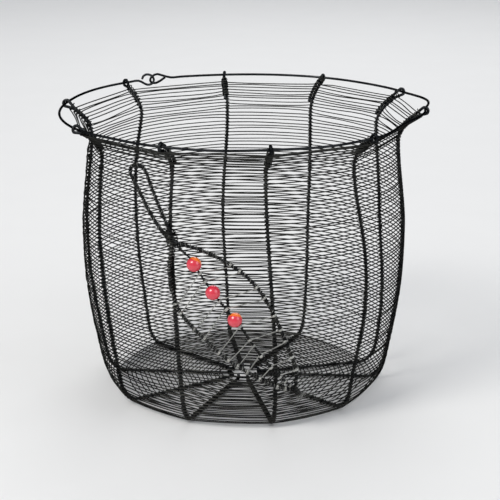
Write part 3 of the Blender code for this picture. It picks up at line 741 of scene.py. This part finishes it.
def wire_material(kind):
    """Drawn wire: a dark or tarnished skin that is rubbed in patches and along its length, where its lighter
    colour is also a painted glint.
    """
    if kind.material in bpy.data.materials:
        return bpy.data.materials[kind.material]
    colours = bpy.context.scene.basket_finish
    made, tree, shader, place = new_material(kind.material)
    worn_and_glint = grouped(tree, "wire_wear_and_glint", wear_and_glint_group)
    feed(tree, worn_and_glint, Vector=place, Patch_Scale=kind.patch_scale, Wear=kind.wear)
    marks = grouped(tree, "marks_and_glints", marks_and_glints_group)
    feed(tree, marks, Along=attribute(tree, "along"), Tone=attribute(tree, "tone"),
         Mark_Length=kind.mark_length)
    marks_share = 0.45
    # The rubbed share is wear, and the lighter colour it brings is also a painted glint.
    rub_and_glint = worked(tree, "MULTIPLY_ADD", marks.outputs["Marks"], marks_share, worn_and_glint.outputs["Worn"],
                 use_clamp=True)
    bump = add(tree, "ShaderNodeBump")
    feed(tree, bump, Height=worn_and_glint.outputs["Tooth"], Strength=0.25, Distance=0.00006)
    feed(tree, shader, Metallic=1.0, Specular_Tint=(kind.mirror, kind.mirror, kind.mirror, 1.0),
         Base_Color=mixed_colour(tree, rub_and_glint, getattr(colours, kind.skin), getattr(colours, kind.rubbed)),
         Roughness=ranged(tree, rub_and_glint, (0.0, 1.0), kind.roughness), Normal=bump.outputs["Normal"])
    return made


def bead_material():
    """Pearly bead: a deep red body under a pale bloom, with one side of another colour where its points' cap
    value is high.
    """
    name = "pearly_bead"
    if name in bpy.data.materials:
        return bpy.data.materials[name]
    colours = bpy.context.scene.basket_finish
    made, tree, shader, place = new_material(name)
    swirl = noise(tree, place, scale=240.0, detail=2.0, distortion=0.6)
    body = mixed_colour(tree, ranged(tree, swirl, (0.35, 0.65), (0.0, 0.3)), colours.pearl, colours.blush)
    swirl_share = 0.16
    edge = ranged(tree, worked(tree, "MULTIPLY_ADD", swirl, swirl_share, attribute(tree, "cap")), (0.79, 0.91))
    feed(tree, shader, Base_Color=mixed_colour(tree, edge, body, colours.cap),
         Roughness=ranged(tree, swirl, (0.3, 0.7), (0.36, 0.44)),
         Specular_IOR_Level=0.8, Specular_Tint=(1.0, 0.4, 0.55, 1.0),
         Coat_Weight=0.8, Coat_Roughness=0.22, Coat_IOR=1.9)
    return made


def drawn(name, wires, kind, nodes=()):
    """Finishes a piece that is made of drawn wire."""
    finished(name, wires, wire_material(kind), nodes)


# Stout wires.


def outer_leg(along):
    """How far out an upright swings just below the rim, to pass over it as an eye."""
    return EYE_LEG_SHARE * EYE_REACH * eased(along, WALL.rim - EYE_LENGTH, WALL.rim)


def tail_place():
    """How far out of the wall, and how far aside, the tail of an eye lies from its upright."""
    reach = bpy.context.scene.basket_wires.upright * TAIL_OUT_SHARE
    return -reach * math.cos(TAIL_SWING), reach * math.sin(TAIL_SWING)


def rib_line(number):
    """Middle line of one upright, from its hook on the base ring to the tail of its top eye."""
    wires = bpy.context.scene.basket_wires
    radial, _ = ways(rib_azimuth(number, 0.0))
    hook = (wires.ring + wires.upright) / 2
    start = []
    for turn in BASE_HOOK_DEGREES:
        angle = math.radians(turn)
        start.append(radial * (BASE_RING_RADIUS + hook * math.cos(angle))
                     + Vector((0, 0, RING_LEVEL + hook * math.sin(angle))))
    foot = BASE_RADIUS - FOOT_LEAD
    eye_foot = WALL.rim - EYE_LENGTH
    stops = [BASE_RING_RADIUS, BASE_RING_RADIUS + HOOK_LEAD, foot]
    stops += [foot + (eye_foot - foot) * i / UPRIGHT_STEPS for i in range(1, UPRIGHT_STEPS + 1)]
    line = [WALL.place(rib_azimuth(number, along), along, rib_out(along)) for along in stops]
    top = rib_azimuth(number, WALL.rim)
    middle = WALL.rim - EYE_LENGTH / 2
    eye = [WALL.place(top, middle, outer_leg(middle))]
    for turn in EYE_DEGREES:
        angle = math.radians(turn)
        rise = EYE_RISE + EYE_REACH * math.sin(angle)
        eye.append(WALL.place(top, WALL.rim + rise, EYE_REACH * math.cos(angle)))
    for step in range(TAIL_STEPS + 1):
        along = eye_foot - TAIL_LENGTH * step / TAIL_STEPS
        eye.append(WALL.place(rib_azimuth(number, along), along, *tail_place()))
    return smooth(start + line[:1], steps=5)[:-1] + line[:-1] + smooth(line[-1:] + eye, steps=4)


def rim_place(azimuth):
    """A point of the rim, which bows out or in between the tops of two uprights."""
    before, _, part = rim_bay(azimuth)
    bow = RIM_RADIUS * RIM_BOW_SHARES[before] * math.sin(math.pi * part) ** 2
    return WALL.place(azimuth, WALL.rim, inward=-bow)


def hook_points(azimuth, side):
    """One open hook of the rim wire, from its free tip to where it meets the rim line."""
    radial, level = ways(azimuth)
    centre = rim_place(azimuth)
    tilted = Vector((0, 0, math.cos(HOOK_TILT))) * side + radial * math.sin(HOOK_TILT)
    points = []
    for turn in RIM_HOOK_DEGREES:
        angle = math.radians(turn)
        reach = (HOOK_LENGTH - HOOK_OVERLAP) / 2 + HOOK_LENGTH / 2 * math.cos(angle)
        points.append(centre + level * side * reach + tilted * (HOOK_HEIGHT / 2 * math.sin(angle)))
    if side < 0:
        points[:1] = [centre + level * side * reach + tilted * drop for reach, drop in LONG_TIP]
    return points


def rim_line():
    """Middle line of the rim wire, from the tip of one hook round to the tip of the other."""
    closure = 2 * math.pi * CLOSURE_TURN_SHARE
    start, end = ((HOOK_LENGTH - HOOK_OVERLAP / 2 + lead) / RIM_RADIUS for lead in HOOK_LEADS)
    steps = 100
    turn = 2 * math.pi - start - end
    line = [rim_place(closure + start + turn * i / steps) for i in range(steps + 1)]
    return smooth(hook_points(closure, 1) + line + hook_points(closure, -1)[::-1], steps=3)


class BASKET_OT_rim(bpy.types.Operator):
    """Bend the rim wire to a hoop, with its two ends hooked in each other"""

    bl_idname = "basket.rim"
    bl_label = "Rim hoop"

    def execute(self, context):
        wires = context.scene.basket_wires
        drawn("RimHoop", [swept(rim_line(), wires.rim / 2, sides=12, tone=0.55)], BLACK, ["rim_hoop"])
        return {"FINISHED"}


class BASKET_OT_uprights(bpy.types.Operator):
    """Bend the ten upright wires, each with a hook at its foot and an eye over the rim"""

    bl_idname = "basket.uprights"
    bl_label = "Uprights"

    def execute(self, context):
        wires = context.scene.basket_wires
        for number, tone in enumerate(UPRIGHT_TONES):
            upright = swept(rib_line(number), wires.upright / 2, sides=10, tone=tone)
            drawn(f"Upright_{number + 1:02d}", [upright], BLACK, [f"rib_{number + 1:02d}"])
        return {"FINISHED"}


class BASKET_OT_base_ring(bpy.types.Operator):
    """Bend the small ring that holds the feet of the uprights"""

    bl_idname = "basket.base_ring"
    bl_label = "Base ring"

    def execute(self, context):
        wires = context.scene.basket_wires
        steps = 48
        line = []
        for angle in (2 * math.pi * i / steps for i in range(steps)):
            right, back = BASE_RING_RADIUS * math.sin(angle), -BASE_RING_RADIUS * math.cos(angle)
            line.append(Vector((right, back, RING_LEVEL)))
        drawn("BaseRing", [swept(line, wires.ring / 2, sides=12, closed=True)], BLACK, ["base_ring"])
        return {"FINISHED"}


# Weave.


def grip(along, reach):
    """The oval that thin wire takes round an upright here: its middle, out and aside, and its half widths.

    Below the eye it takes in the tail too, and at the eye both of its legs.
    """
    if along < WALL.rim - EYE_LENGTH - TAIL_LENGTH + reach:
        return rib_out(along), 0.0, reach, reach
    outer = outer_leg(along)
    inner, aside = tail_place()
    if along > WALL.rim - EYE_LENGTH:
        part = eased(along, WALL.rim - EYE_LENGTH, WALL.rim - EYE_LENGTH / 2)
        inner, aside = inner - (EYE_REACH + inner) * part, aside * (1 - part)
    return (outer + inner) / 2, aside / 2, reach + (outer - inner) / 2, reach + aside / 2


def turn_round(number, along, reach, start, turns):
    """Points of thin wire that takes this many turns round an upright, climbing a little."""
    middle_out, middle_aside, half_out, half_aside = grip(along, reach)
    azimuth = rib_azimuth(number, along)
    sweep = 2 * math.pi * turns - 2 * TURN_START
    steps = round(TURN_STEPS * turns)
    points = []
    for i in range(steps + 1):
        angle = start + TURN_START + sweep * i / steps
        rise = TURN_LEAD * (i / steps - 0.5) * turns
        out = middle_out + half_out * math.cos(angle)
        points.append(WALL.place(azimuth, along + rise, out, middle_aside + half_aside * math.sin(angle)))
    return points


class Rows:
    """One thin wire that winds round the basket. outer is 1 where it passes outside the uprights, else -1."""

    def __init__(self, start, end, pitch, outer, seed):
        self.start, self.pitch, self.outer = start, pitch, outer
        self.chance = random.Random(seed)
        self.count = len(RIB_TURN_SHARES)
        self.total = int((end - start) / pitch * self.count)
        wires = bpy.context.scene.basket_wires
        self.reach = (wires.upright + wires.weave) / 2
        self.last_middle = {}
        self.last_drift = {}

    def along(self, i):
        """How far along the wall the wire passes an upright for the i-th time."""
        turn, number = divmod(i, self.count)
        return self.start + self.pitch * (turn + RIB_TURN_SHARES[number])

    def flared(self, along):
        """0 on the wall and 1 on the flare."""
        below, above = FLARE_FADE
        return eased(along, WALL.neck - below, WALL.neck + above)

    def looseness(self, along):
        """How far rows stray and how straight they are pulled at this place."""
        weave = bpy.context.scene.basket_weave
        if self.outer < 0:
            start = BASE_PULL_START_SHARE * BASE_RADIUS
            return weave.wall_drift, 1 - (1 - CORNER_PULL) * eased(along, start, BASE_RADIUS)
        part = self.flared(along)
        low = eased(along, *map(WALL.at_height, LOW_ROWS_HEIGHTS))
        drift = weave.wall_drift + (weave.flare_drift - weave.wall_drift) * part
        pull = weave.wall_pull + (weave.flare_pull - weave.wall_pull) * part
        return drift * (1 - LOW_CALM_SHARE * low), pull + (CORNER_PULL - pull) * low

    def span(self, i, here, there):
        """Points of the wire between two uprights."""
        number = i % self.count
        after = (number + 1) % self.count
        middle = (here + there) / 2
        drift, pull = self.looseness(middle)
        first = rib_azimuth(number, here)
        last = rib_azimuth(after, there) + (2 * math.pi if after == 0 else 0.0)
        stray = KEPT_DRIFT_SHARE * self.last_drift.get(number, 0.0) + self.chance.gauss(0, drift)
        height = max(middle + stray, self.last_middle.get(number, 0.0) + ROW_TOUCH)
        bow = height - middle
        self.last_middle[number] = height
        self.last_drift[number] = bow
        wave = self.chance.gauss(0, drift * WAVE_SHARE)
        bulge = self.chance.gauss(0, BULGE_DRIFT)
        sagitta = WALL.radius(middle) * (1 - math.cos((last - first) / 2))
        points = []
        for k in range(1, SPAN_STEPS + 1):
            part = SPAN_LEAD_SHARE + (1 - 2 * SPAN_LEAD_SHARE) * (k - 0.5) / SPAN_STEPS
            arch = 4 * part * (1 - part)  # 0 at both uprights and 1 midway
            along = (here + (there - here) * part + bow * arch ** ARCH_POWER
                     + wave * math.sin(2 * math.pi * part))
            out = rib_out(along) + self.outer * (self.reach + bulge * arch) + outer_leg(along)
            azimuth = first + (last - first) * part
            points.append(WALL.place(azimuth, along, out, inward=pull * sagitta * arch))
        return points

    def passes(self):
        """For each pass of an upright, the turn round it and the span that follows."""
        alongs = []
        for along in map(self.along, range(self.total)):
            alongs.append(along + self.chance.gauss(0, PASS_DRIFT + FLARE_PASS_DRIFT * self.flared(along)))
        start = 0.0 if self.outer > 0 else math.pi
        made = []
        for i, along in enumerate(alongs):
            number = i % self.count
            last = i + 1 == self.total
            turns = END_TURNS if last or i == 0 else TURNS
            points = turn_round(number, along, self.reach, start, turns)
            if not last:
                points += self.span(i, along + TURN_LEAD / 2 * turns, alongs[i + 1] - TURN_LEAD / 2 * TURNS)
            made.append(points)
        return made


class BASKET_OT_base_rows(bpy.types.Operator):
    """Weave the thin wire round and round on the uprights of the base"""

    bl_idname = "basket.base_rows"
    bl_label = "Base weave"

    def execute(self, context):
        wires, weave = context.scene.basket_wires, context.scene.basket_weave
        rows = Rows(BASE_ROWS_START, WALL.at_slope(BASE_ROWS_END_ANGLE), weave.base_pitch, -1, weave.seed)
        line = [point for stretch in rows.passes() for point in stretch]
        drawn("BaseRows", [swept(line, wires.weave / 2, sides=5)], THIN, ["base_weave"])
        return {"FINISHED"}


class BASKET_OT_wall_rows(bpy.types.Operator):
    """Weave the thin wire round and round up the wall and the flare"""

    bl_idname = "basket.wall_rows"
    bl_label = "Wall weave"

    def execute(self, context):
        wires, weave = context.scene.basket_wires, context.scene.basket_weave
        start = WALL.at_slope(WALL_ROWS_START_ANGLE)
        rows = Rows(start, WALL.rim - RIM_ROW_GAP, weave.wall_pitch, 1, weave.seed + 1)
        passes = rows.passes()
        below_eyes = int((WALL.rim - WALL_ROWS_BELOW_EYES - start) / weave.wall_pitch * rows.count)
        each = below_eyes // WALL_LENGTHS
        for n in range(WALL_LENGTHS):
            stop = len(passes) if n == WALL_LENGTHS - 1 else (n + 1) * each
            line = [point for stretch in passes[n * each:stop] for point in stretch]
            if stop < len(passes):
                line.append(passes[stop][0])
            woven = swept(line, wires.weave / 2, sides=6, tone=rows.chance.random())
            drawn(f"WallRows_{n + 1}", [woven], THIN, [f"wall_weave_{n + 1}"])
        return {"FINISHED"}


# Leaf.


def unrolled(tilt, down, across, out):
    """A point this far down and across from the leaf's neck, with the wall laid flat, and out of the wall."""
    flat = Vector((LEAF_NECK_ARC, 0)) + Vector((math.sin(tilt), -math.cos(tilt))) * down
    flat += Vector((math.cos(tilt), math.sin(tilt))) * across
    return WALL.place(flat.x / BULGE_RADIUS, WALL.at_height(LEAF_NECK_HEIGHT) + flat.y, out)


def leaf_place(along, across, out):
    """A point this far along the leaf from its neck, across it, and out of the wall."""
    return unrolled(LEAF_TILT, along, across, out)


def tip_lift(along_share):
    """How much further out the leaf's edge lies here, which is over the other wires at its tip."""
    return LEAF_TIP_LIFT * eased(along_share, *LIFT_SHARES)


def edge_flats(shares, width, side):
    """One edge of the leaf from the neck to the end of the bound tip, as places along and across the leaf."""
    flats = [Vector((0.0, side * EDGE_PAIR))]
    flats += [Vector((a * LEAF_LENGTH, side * b * width)) for a, b in shares]
    flats += [Vector((a * LEAF_LENGTH, side * EDGE_PAIR)) for a in TIP_SHARES]
    return smooth(flats, steps=8)


def edge_line(flats):
    """Points in space of places on the leaf's edge."""
    return [leaf_place(flat.x, flat.y, LEAF_OUT + tip_lift(flat.x / LEAF_LENGTH)) for flat in flats]


def stem_line():
    """The stem loop, from the left edge's neck up and round to the right edge's."""
    foot = STEM_FOOT_SHARE * STEM_LENGTH
    flats = [Vector((foot, -EDGE_PAIR))]
    flats += [Vector((a * STEM_LENGTH, b * STEM_WIDTH)) for a, b in STEM_SHARES]
    flats += [Vector((foot, EDGE_PAIR))]
    return [unrolled(STEM_TILT, -flat.x, flat.y, LEAF_OUT) for flat in smooth(flats, steps=8)]


def bead_frames():
    """Middle and axis of each bead. The axis is the way of the middle wire there."""
    centres = []
    for along, across in zip(BEAD_ALONG_SHARES, BEAD_ACROSS_SHARES):
        centres.append(leaf_place(along * LEAF_LENGTH, across * LEAF_RIGHT_WIDTH, BEAD_OUT))
    frames = []
    for i, centre in enumerate(centres):
        before, after = centres[max(i - 1, 0)], centres[min(i + 1, len(centres) - 1)]
        frames.append((centre, (after - before).normalized()))
    return frames


def midrib_line():
    """The leaf's middle wire, from its neck straight through each bead to its tip."""
    points = [leaf_place(MIDRIB_START_SHARE * LEAF_LENGTH, 0, LEAF_OUT)]
    for centre, axis in bead_frames():
        half = axis * (BEAD_DIAMETER / 2 + BEAD_LEAD)
        points += [centre - half, centre, centre + half]
    last_bead = BEAD_ALONG_SHARES[-1]
    for along, across in MIDRIB_LOWER_SHARES:
        part = min((along - last_bead) / (TIP_SHARES[0] - last_bead), 1.0)
        out = BEAD_OUT + (MIDRIB_TIP_OUT - BEAD_OUT) * part
        points.append(leaf_place(along * LEAF_LENGTH, across * LEAF_RIGHT_WIDTH, out))
    return smooth(points, steps=6)


def flat_at(flats, along):
    """The place on a line of flat places where it is this far along the leaf."""
    for before, after in zip(flats, flats[1:]):
        if before.x <= along < after.x:
            return before.lerp(after, (along - before.x) / (after.x - before.x))
    return flats[-1]


class Leaf:
    """The lines that the leaf's wires follow."""

    def __init__(self):
        self.right = edge_flats(RIGHT_EDGE_SHARES, LEAF_RIGHT_WIDTH, 1)
        self.left = edge_flats(LEFT_EDGE_SHARES, LEAF_LEFT_WIDTH, -1)
        self.right_edge = Track(edge_line(self.right))
        self.left_edge = Track(edge_line(self.left))
        self.stem = Track(stem_line())
        self.outline = edge_line(self.left)[::-1] + stem_line() + edge_line(self.right)
        self.midrib = Track(midrib_line())

    def vein_ends(self, shares, flats):
        """For each vein, its end at the leaf's edge and its end at the middle wire."""
        ends = []
        for start in (share_along * LEAF_LENGTH for share_along in shares):
            root = self.midrib.at(self.midrib.nearest(leaf_place(start, 0, BEAD_OUT))).translation
            reach = start
            for _ in range(VEIN_END_TRIES):
                reach = start + abs(flat_at(flats, reach).y) * math.tan(VEIN_SWEEP)
            ends.append((edge_line([flat_at(flats, reach)])[0], root))
        return ends


def winding(track, start, leads, reach, diameter, chance):
    """Thin wire wound round a track from any side, as a mesh."""
    line = track.wound(start, leads, reach, chance.random() * PHASE_RANGE)
    return swept(line, diameter / 2, sides=5, tone=chance.random())


def leaf_setup(number):
    """What a step of the leaf needs: the diameters, its own chance and the leaf's lines."""
    scene = bpy.context.scene
    return scene.basket_wires, random.Random(scene.basket_weave.seed + number), Leaf()


class BASKET_OT_leaf_outline(bpy.types.Operator):
    """Bend the leaf's outline with its stem loop, and wind thin wire round it"""

    bl_idname = "basket.leaf_outline"
    bl_label = "Leaf outline"

    def execute(self, context):
        wires, chance, leaf = leaf_setup(2)
        outline = swept(leaf.outline, wires.leaf / 2, sides=10, tone=0.35)
        drawn("LeafOutline", [outline], BLACK, ["leaf_outline"])
        layers = (("LeafWinding", DARK_PITCHES, wires.winding, THIN),
                  ("LeafOuterWinding", LIGHT_PITCHES, wires.outer, BRIGHT))
        reach = wires.leaf / 2
        for name, pitches, diameter, kind in layers:
            parts = []
            for track, pitch in zip((leaf.left_edge, leaf.right_edge, leaf.stem), pitches):
                leads = []
                while sum(leads) < track.length - WINDING_END - pitch:
                    leads.append(pitch * chance.uniform(*WINDING_UNEVEN_SHARES))
                parts.append(winding(track, WINDING_LEAD, leads, reach + diameter / 2, diameter, chance))
            drawn(name, parts, kind)
            reach += diameter * WINDING_NEST_SHARE
        return {"FINISHED"}


class BASKET_OT_leaf_midrib(bpy.types.Operator):
    """Twist two strands to the leaf's middle wire, and bind it between the beads"""

    bl_idname = "basket.leaf_midrib"
    bl_label = "Leaf middle wire"

    def execute(self, context):
        wires, chance, leaf = leaf_setup(3)
        turns = int(leaf.midrib.length / TWIST_PITCH)
        leads = [leaf.midrib.length / turns] * turns
        strands = []
        for phase in (0.0, math.pi):
            line = leaf.midrib.wound(0.0, leads, wires.strand * STRAND_OUT_SHARE, phase, steps=7)
            strands.append(swept(line, wires.strand / 2, sides=8, tone=chance.random()))
        drawn("LeafMiddleWire", strands, BLACK, ["leaf_midrib"])
        beads = [leaf.midrib.nearest(centre) for centre, _ in bead_frames()]
        stops = [0.0] + [bead + side * BEAD_DIAMETER / 2 for bead in beads for side in (-1, 1)]
        stops.append(leaf.midrib.length - WINDING_END)
        windings = []
        for start, end in zip(stops[::2], stops[1::2]):
            turns = max(int((end - start - 2 * WINDING_LEAD) / BINDING_PITCH), 1)
            windings.append(winding(leaf.midrib, start + WINDING_LEAD, [BINDING_PITCH] * turns,
                                    wires.strand + wires.winding / 2, wires.winding, chance))
        drawn("LeafMiddleWinding", windings, THIN)
        return {"FINISHED"}


class BASKET_OT_leaf_veins(bpy.types.Operator):
    """Stretch the veins between the leaf's middle wire and its edge, each end wound on"""

    bl_idname = "basket.leaf_veins"
    bl_label = "Leaf veins"

    def execute(self, context):
        wires, chance, leaf = leaf_setup(4)
        edge_reach = wires.leaf / 2 + wires.winding + wires.vein / 2
        root_reach = wires.strand + wires.vein / 2
        leads = [wires.vein] * VEIN_TURNS
        sides = (("LeafVeinsRight", "leaf_veins_right", RIGHT_VEIN_SHARES, leaf.right, leaf.right_edge),
                 ("LeafVeinsLeft", "leaf_veins_left", LEFT_VEIN_SHARES, leaf.left, leaf.left_edge))
        for name, node, shares, flats, edge in sides:
            parts = []
            for rim, root in leaf.vein_ends(shares, flats):
                ends = []
                for track, place, lead, reach in ((edge, rim, VEIN_EDGE_LEAD, edge_reach),
                                                  (leaf.midrib, root, VEIN_ROOT_LEAD, root_reach)):
                    start = track.nearest(place) - lead
                    ends.append(track.wound(start, leads, reach, chance.random() * PHASE_RANGE))
                at_edge, at_root = ends
                sag = Vector((0, 0, -chance.uniform(0.0, VEIN_SAG)))
                middle = (at_edge[-1] + at_root[0]) / 2 + sag
                line = at_edge + smooth([at_edge[-1], middle, at_root[0]], steps=4)[1:-1] + at_root
                parts.append(swept(line, wires.vein / 2, sides=5, tone=chance.random()))
            drawn(name, parts, SILVERY, [node])
        return {"FINISHED"}


class BASKET_OT_beads(bpy.types.Operator):
    """Turn the three drilled beads and thread them on the leaf's middle wire"""

    bl_idname = "basket.beads"
    bl_label = "Beads"

    def execute(self, context):
        ball = BEAD_DIAMETER / 2
        limit = math.acos(context.scene.basket_wires.strand * BEAD_HOLE_SHARE / ball)
        angles = [limit * (1 - 2 * k / BEAD_ARC_STEPS) for k in range(BEAD_ARC_STEPS + 1)]
        for i, ((centre, axis), (way, spread)) in enumerate(zip(bead_frames(), BEAD_CAPS)):
            form = bmesh.new()
            cap = form.verts.layers.float.new("cap")
            verts = [form.verts.new((ball * math.cos(angle), 0, ball * math.sin(angle))) for angle in angles]
            edges = [form.edges.new(pair) for pair in zip(verts, verts[1:] + verts[:1])]
            bmesh.ops.spin(form, geom=verts + edges, cent=(0, 0, 0), axis=(0, 0, 1), angle=2 * math.pi,
                           steps=BEAD_SPIN_STEPS, use_merge=True)
            bmesh.ops.recalc_face_normals(form, faces=form.faces)
            facing = axis.to_track_quat("Z", "Y").to_matrix().to_4x4()
            bmesh.ops.transform(form, matrix=Matrix.Translation(centre) @ facing, verts=form.verts)
            capped = Vector(way).normalized()
            for vert in form.verts:
                vert[cap] = (vert.co - centre).dot(capped) / ball + spread
            bead = f"bead_{i + 1}"
            ball_mesh = as_mesh(form, bead)
            finished(f"PearlBead_{i + 1}", [ball_mesh], bead_material(), [bead], body=bead)
        return {"FINISHED"}


# Ties.


def beside(lines, number, along, reach):
    """How far aside of an upright these leaf wires pass it at this place, if they do so within reach."""
    azimuth = rib_azimuth(number, along)
    middle = WALL.place(azimuth, along)
    _, level = ways(azimuth)
    asides = [0.0]
    for line in lines:
        for start, end in zip(line, line[1:]):
            if (start.z - middle.z) * (end.z - middle.z) <= 0 and start.z != end.z:
                part = (middle.z - start.z) / (end.z - start.z)
                asides.append((start.lerp(end, part) - middle).dot(level))
    asides = [aside for aside in asides if abs(aside) < reach]
    return min(asides), max(asides)


def tie_line(lines, number, start, climb, turns, phase, layer=0):
    """Points of thin wire wound round an upright and the leaf wires that run beside or across it.

    climb is how far each turn goes along the upright; it may be downwards.
    """
    wires = bpy.context.scene.basket_wires
    thick = wires.winding * (0.5 + layer)
    gap = wires.upright / 2 + thick
    outer = LEAF_OUT + wires.leaf / 2 + thick
    points = []
    for k in range(round(TIE_STEPS * turns)):
        along = start + climb * k / TIE_STEPS
        angle = phase + 2 * math.pi * k / TIE_STEPS
        left, right = beside(lines, number, along, TIE_REACH)
        across, out = math.sin(angle), math.cos(angle)
        square = max(abs(across), abs(out)) ** TIE_SQUARE_POWER
        points.append(WALL.place(rib_azimuth(number, along), along,
                                 (outer - gap) / 2 + (outer + gap) / 2 * out / square,
                                 (right + left) / 2 + (right - left + 2 * gap) / 2 * across / square))
    return points


def curl_line(foot, chance):
    """One free wire end at the leaf's tip, curled up loosely from its foot."""
    size = chance.uniform(*CURL_SIZES)
    lift = chance.uniform(-CURL_LIFT, CURL_LIFT)
    swing = chance.uniform(0, 2 * math.pi)
    loop = [foot]
    for k in range(CURL_STEPS):
        angle = swing + 2 * math.pi * k / CURL_STEPS * chance.uniform(*CURL_UNEVEN_SHARES)
        along = LEAF_LENGTH * CURL_PLACE_SHARE + size * math.cos(angle) + CURL_CREEP * k
        swell = CURL_SWELL * math.sin(angle * CURL_SWELL_RATE + lift * CURL_SWELL_SHIFT)
        out = LEAF_OUT + LEAF_TIP_LIFT + CURL_OUT + swell
        loop.append(leaf_place(along, size * math.sin(angle) + lift, out))
    return smooth(loop, steps=3)


class BASKET_OT_leaf_ties(bpy.types.Operator):
    """Tie the leaf to the uprights, bind its neck and its tip, and leave the wire's ends curled at the tip"""

    bl_idname = "basket.leaf_ties"
    bl_label = "Ties and bindings"

    def execute(self, context):
        wires, chance, leaf = leaf_setup(5)
        lines = (leaf.outline, [place.translation for place in leaf.midrib.frames])
        for name, node, number, windings in TIES:
            low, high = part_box(node)
            along = WALL.at_height((low.z + high.z) / 2)
            parts = []
            for layer, (start, climb, turns) in enumerate(windings):
                phase = chance.random() * PHASE_RANGE
                line = tie_line(lines, number, along + start, climb, turns, phase, layer / 2)
                parts.append(swept(line, wires.winding / 2, sides=5, tone=chance.random()))
            drawn(name, parts, THIN, [node])
        bundle = []
        for k in range(TIP_STEPS + 1):
            along = LEAF_LENGTH * (TIP_SHARES[0] + TIP_START_SHARE + TIP_RUN_SHARE * k / TIP_STEPS)
            bundle.append(leaf_place(along, 0, LEAF_OUT + LEAF_TIP_LIFT + TIP_OUT))
        line = Track(bundle).wound(TIP_LEAD, [TIP_PITCH] * TIP_TURNS, TIP_REACH)
        drawn("TipBinding", [swept(line, wires.winding / 2, sides=5, tone=0.6)], THIN, ["leaf_tip_binding"])
        curls = [swept(curl_line(bundle[-2], chance), wires.winding / 2, sides=5, tone=chance.random())
                 for _ in range(CURLS)]
        drawn("TipCurls", curls, BRIGHT)
        return {"FINISHED"}


# Stage.


def area_light(name, place, aim, size, power, colour_of_light):
    """A round lamp that hangs here and faces its aim."""
    data = bpy.data.lights.new(name, "AREA")
    data.shape = "DISK"
    data.size = size
    data.energy = power
    data.color = colour_of_light
    made = placed(name, data)
    made.location = place
    made.rotation_euler = (Vector(aim) - Vector(place)).to_track_quat("-Z", "Y").to_euler()


class BASKET_OT_stage(bpy.types.Operator):
    """Lay the floor, hang the lamps and set the camera where the photograph was taken from"""

    bl_idname = "basket.stage"
    bl_label = "Stage"

    def execute(self, context):
        scene = context.scene
        pale = scene.basket_finish.floor
        form = bmesh.new()
        bmesh.ops.create_circle(form, cap_ends=True, segments=64, radius=FLOOR_RADIUS)
        floor = placed("floor", as_mesh(form, "floor"))
        floor.location = (0, 0, -FLOOR_DROP)
        finish, tree, shader, place = new_material("floor")
        grain = noise(tree, place, scale=14.0, detail=4.0)
        paler = tuple(min(part * FLOOR_PALER, 1.0) for part in pale)
        feed(tree, shader, Base_Color=mixed_colour(tree, grain, pale, paler), Roughness=0.8)
        floor.data.materials.append(finish)

        scene.world = bpy.data.worlds.new("studio")
        scene.world.use_nodes = True
        background = scene.world.node_tree.nodes["Background"]
        feed(scene.world.node_tree, background, Color=WORLD_COLOUR, Strength=WORLD_STRENGTH)
        for lamp in LAMPS:
            area_light(*lamp)

        data = bpy.data.cameras.new("camera")
        data.lens = CAMERA_LENS
        data.sensor_width = CAMERA_SENSOR
        data.clip_start, data.clip_end = CAMERA_CLIP
        camera = placed("camera", data)
        camera.location = CAMERA_PLACE
        aim = Euler((math.pi / 2 - CAMERA_PITCH, 0.0, CAMERA_YAW)).to_matrix()
        camera.rotation_euler = (aim @ Euler((0.0, 0.0, CAMERA_ROLL)).to_matrix()).to_euler()
        scene.camera = camera
        scene.view_settings.view_transform = "Standard"
        return {"FINISHED"}


class BASKET_PT_sidebar(bpy.types.Panel):
    """Lists the steps that draw the basket"""

    bl_idname = "BASKET_PT_sidebar"
    bl_label = "Wire onion basket"
    bl_space_type = "VIEW_3D"
    bl_region_type = "UI"
    bl_category = "Basket"

    def draw(self, context):
        for name, settings in SETTINGS.items():
            box = self.layout.box()
            for field in settings.__annotations__:
                box.prop(getattr(context.scene, name), field)
        for step in STEPS:
            self.layout.operator(step.bl_idname)


STEPS = (
    BASKET_OT_stage,
    BASKET_OT_rim,
    BASKET_OT_uprights,
    BASKET_OT_base_ring,
    BASKET_OT_base_rows,
    BASKET_OT_wall_rows,
    BASKET_OT_leaf_outline,
    BASKET_OT_leaf_midrib,
    BASKET_OT_leaf_veins,
    BASKET_OT_beads,
    BASKET_OT_leaf_ties,
)


def register():
    for made in (*SETTINGS.values(), *STEPS, BASKET_PT_sidebar):
        bpy.utils.register_class(made)
    for name, settings in SETTINGS.items():
        setattr(bpy.types.Scene, name, bpy.props.PointerProperty(type=settings))


def unregister():
    for name in SETTINGS:
        delattr(bpy.types.Scene, name)
    for made in reversed((*SETTINGS.values(), *STEPS, BASKET_PT_sidebar)):
        bpy.utils.unregister_class(made)


def main():
    register()
    for step in STEPS:
        group_name, step_name = step.bl_idname.split(".")
        getattr(getattr(bpy.ops, group_name), step_name)()


if __name__ == "__main__":
    main()
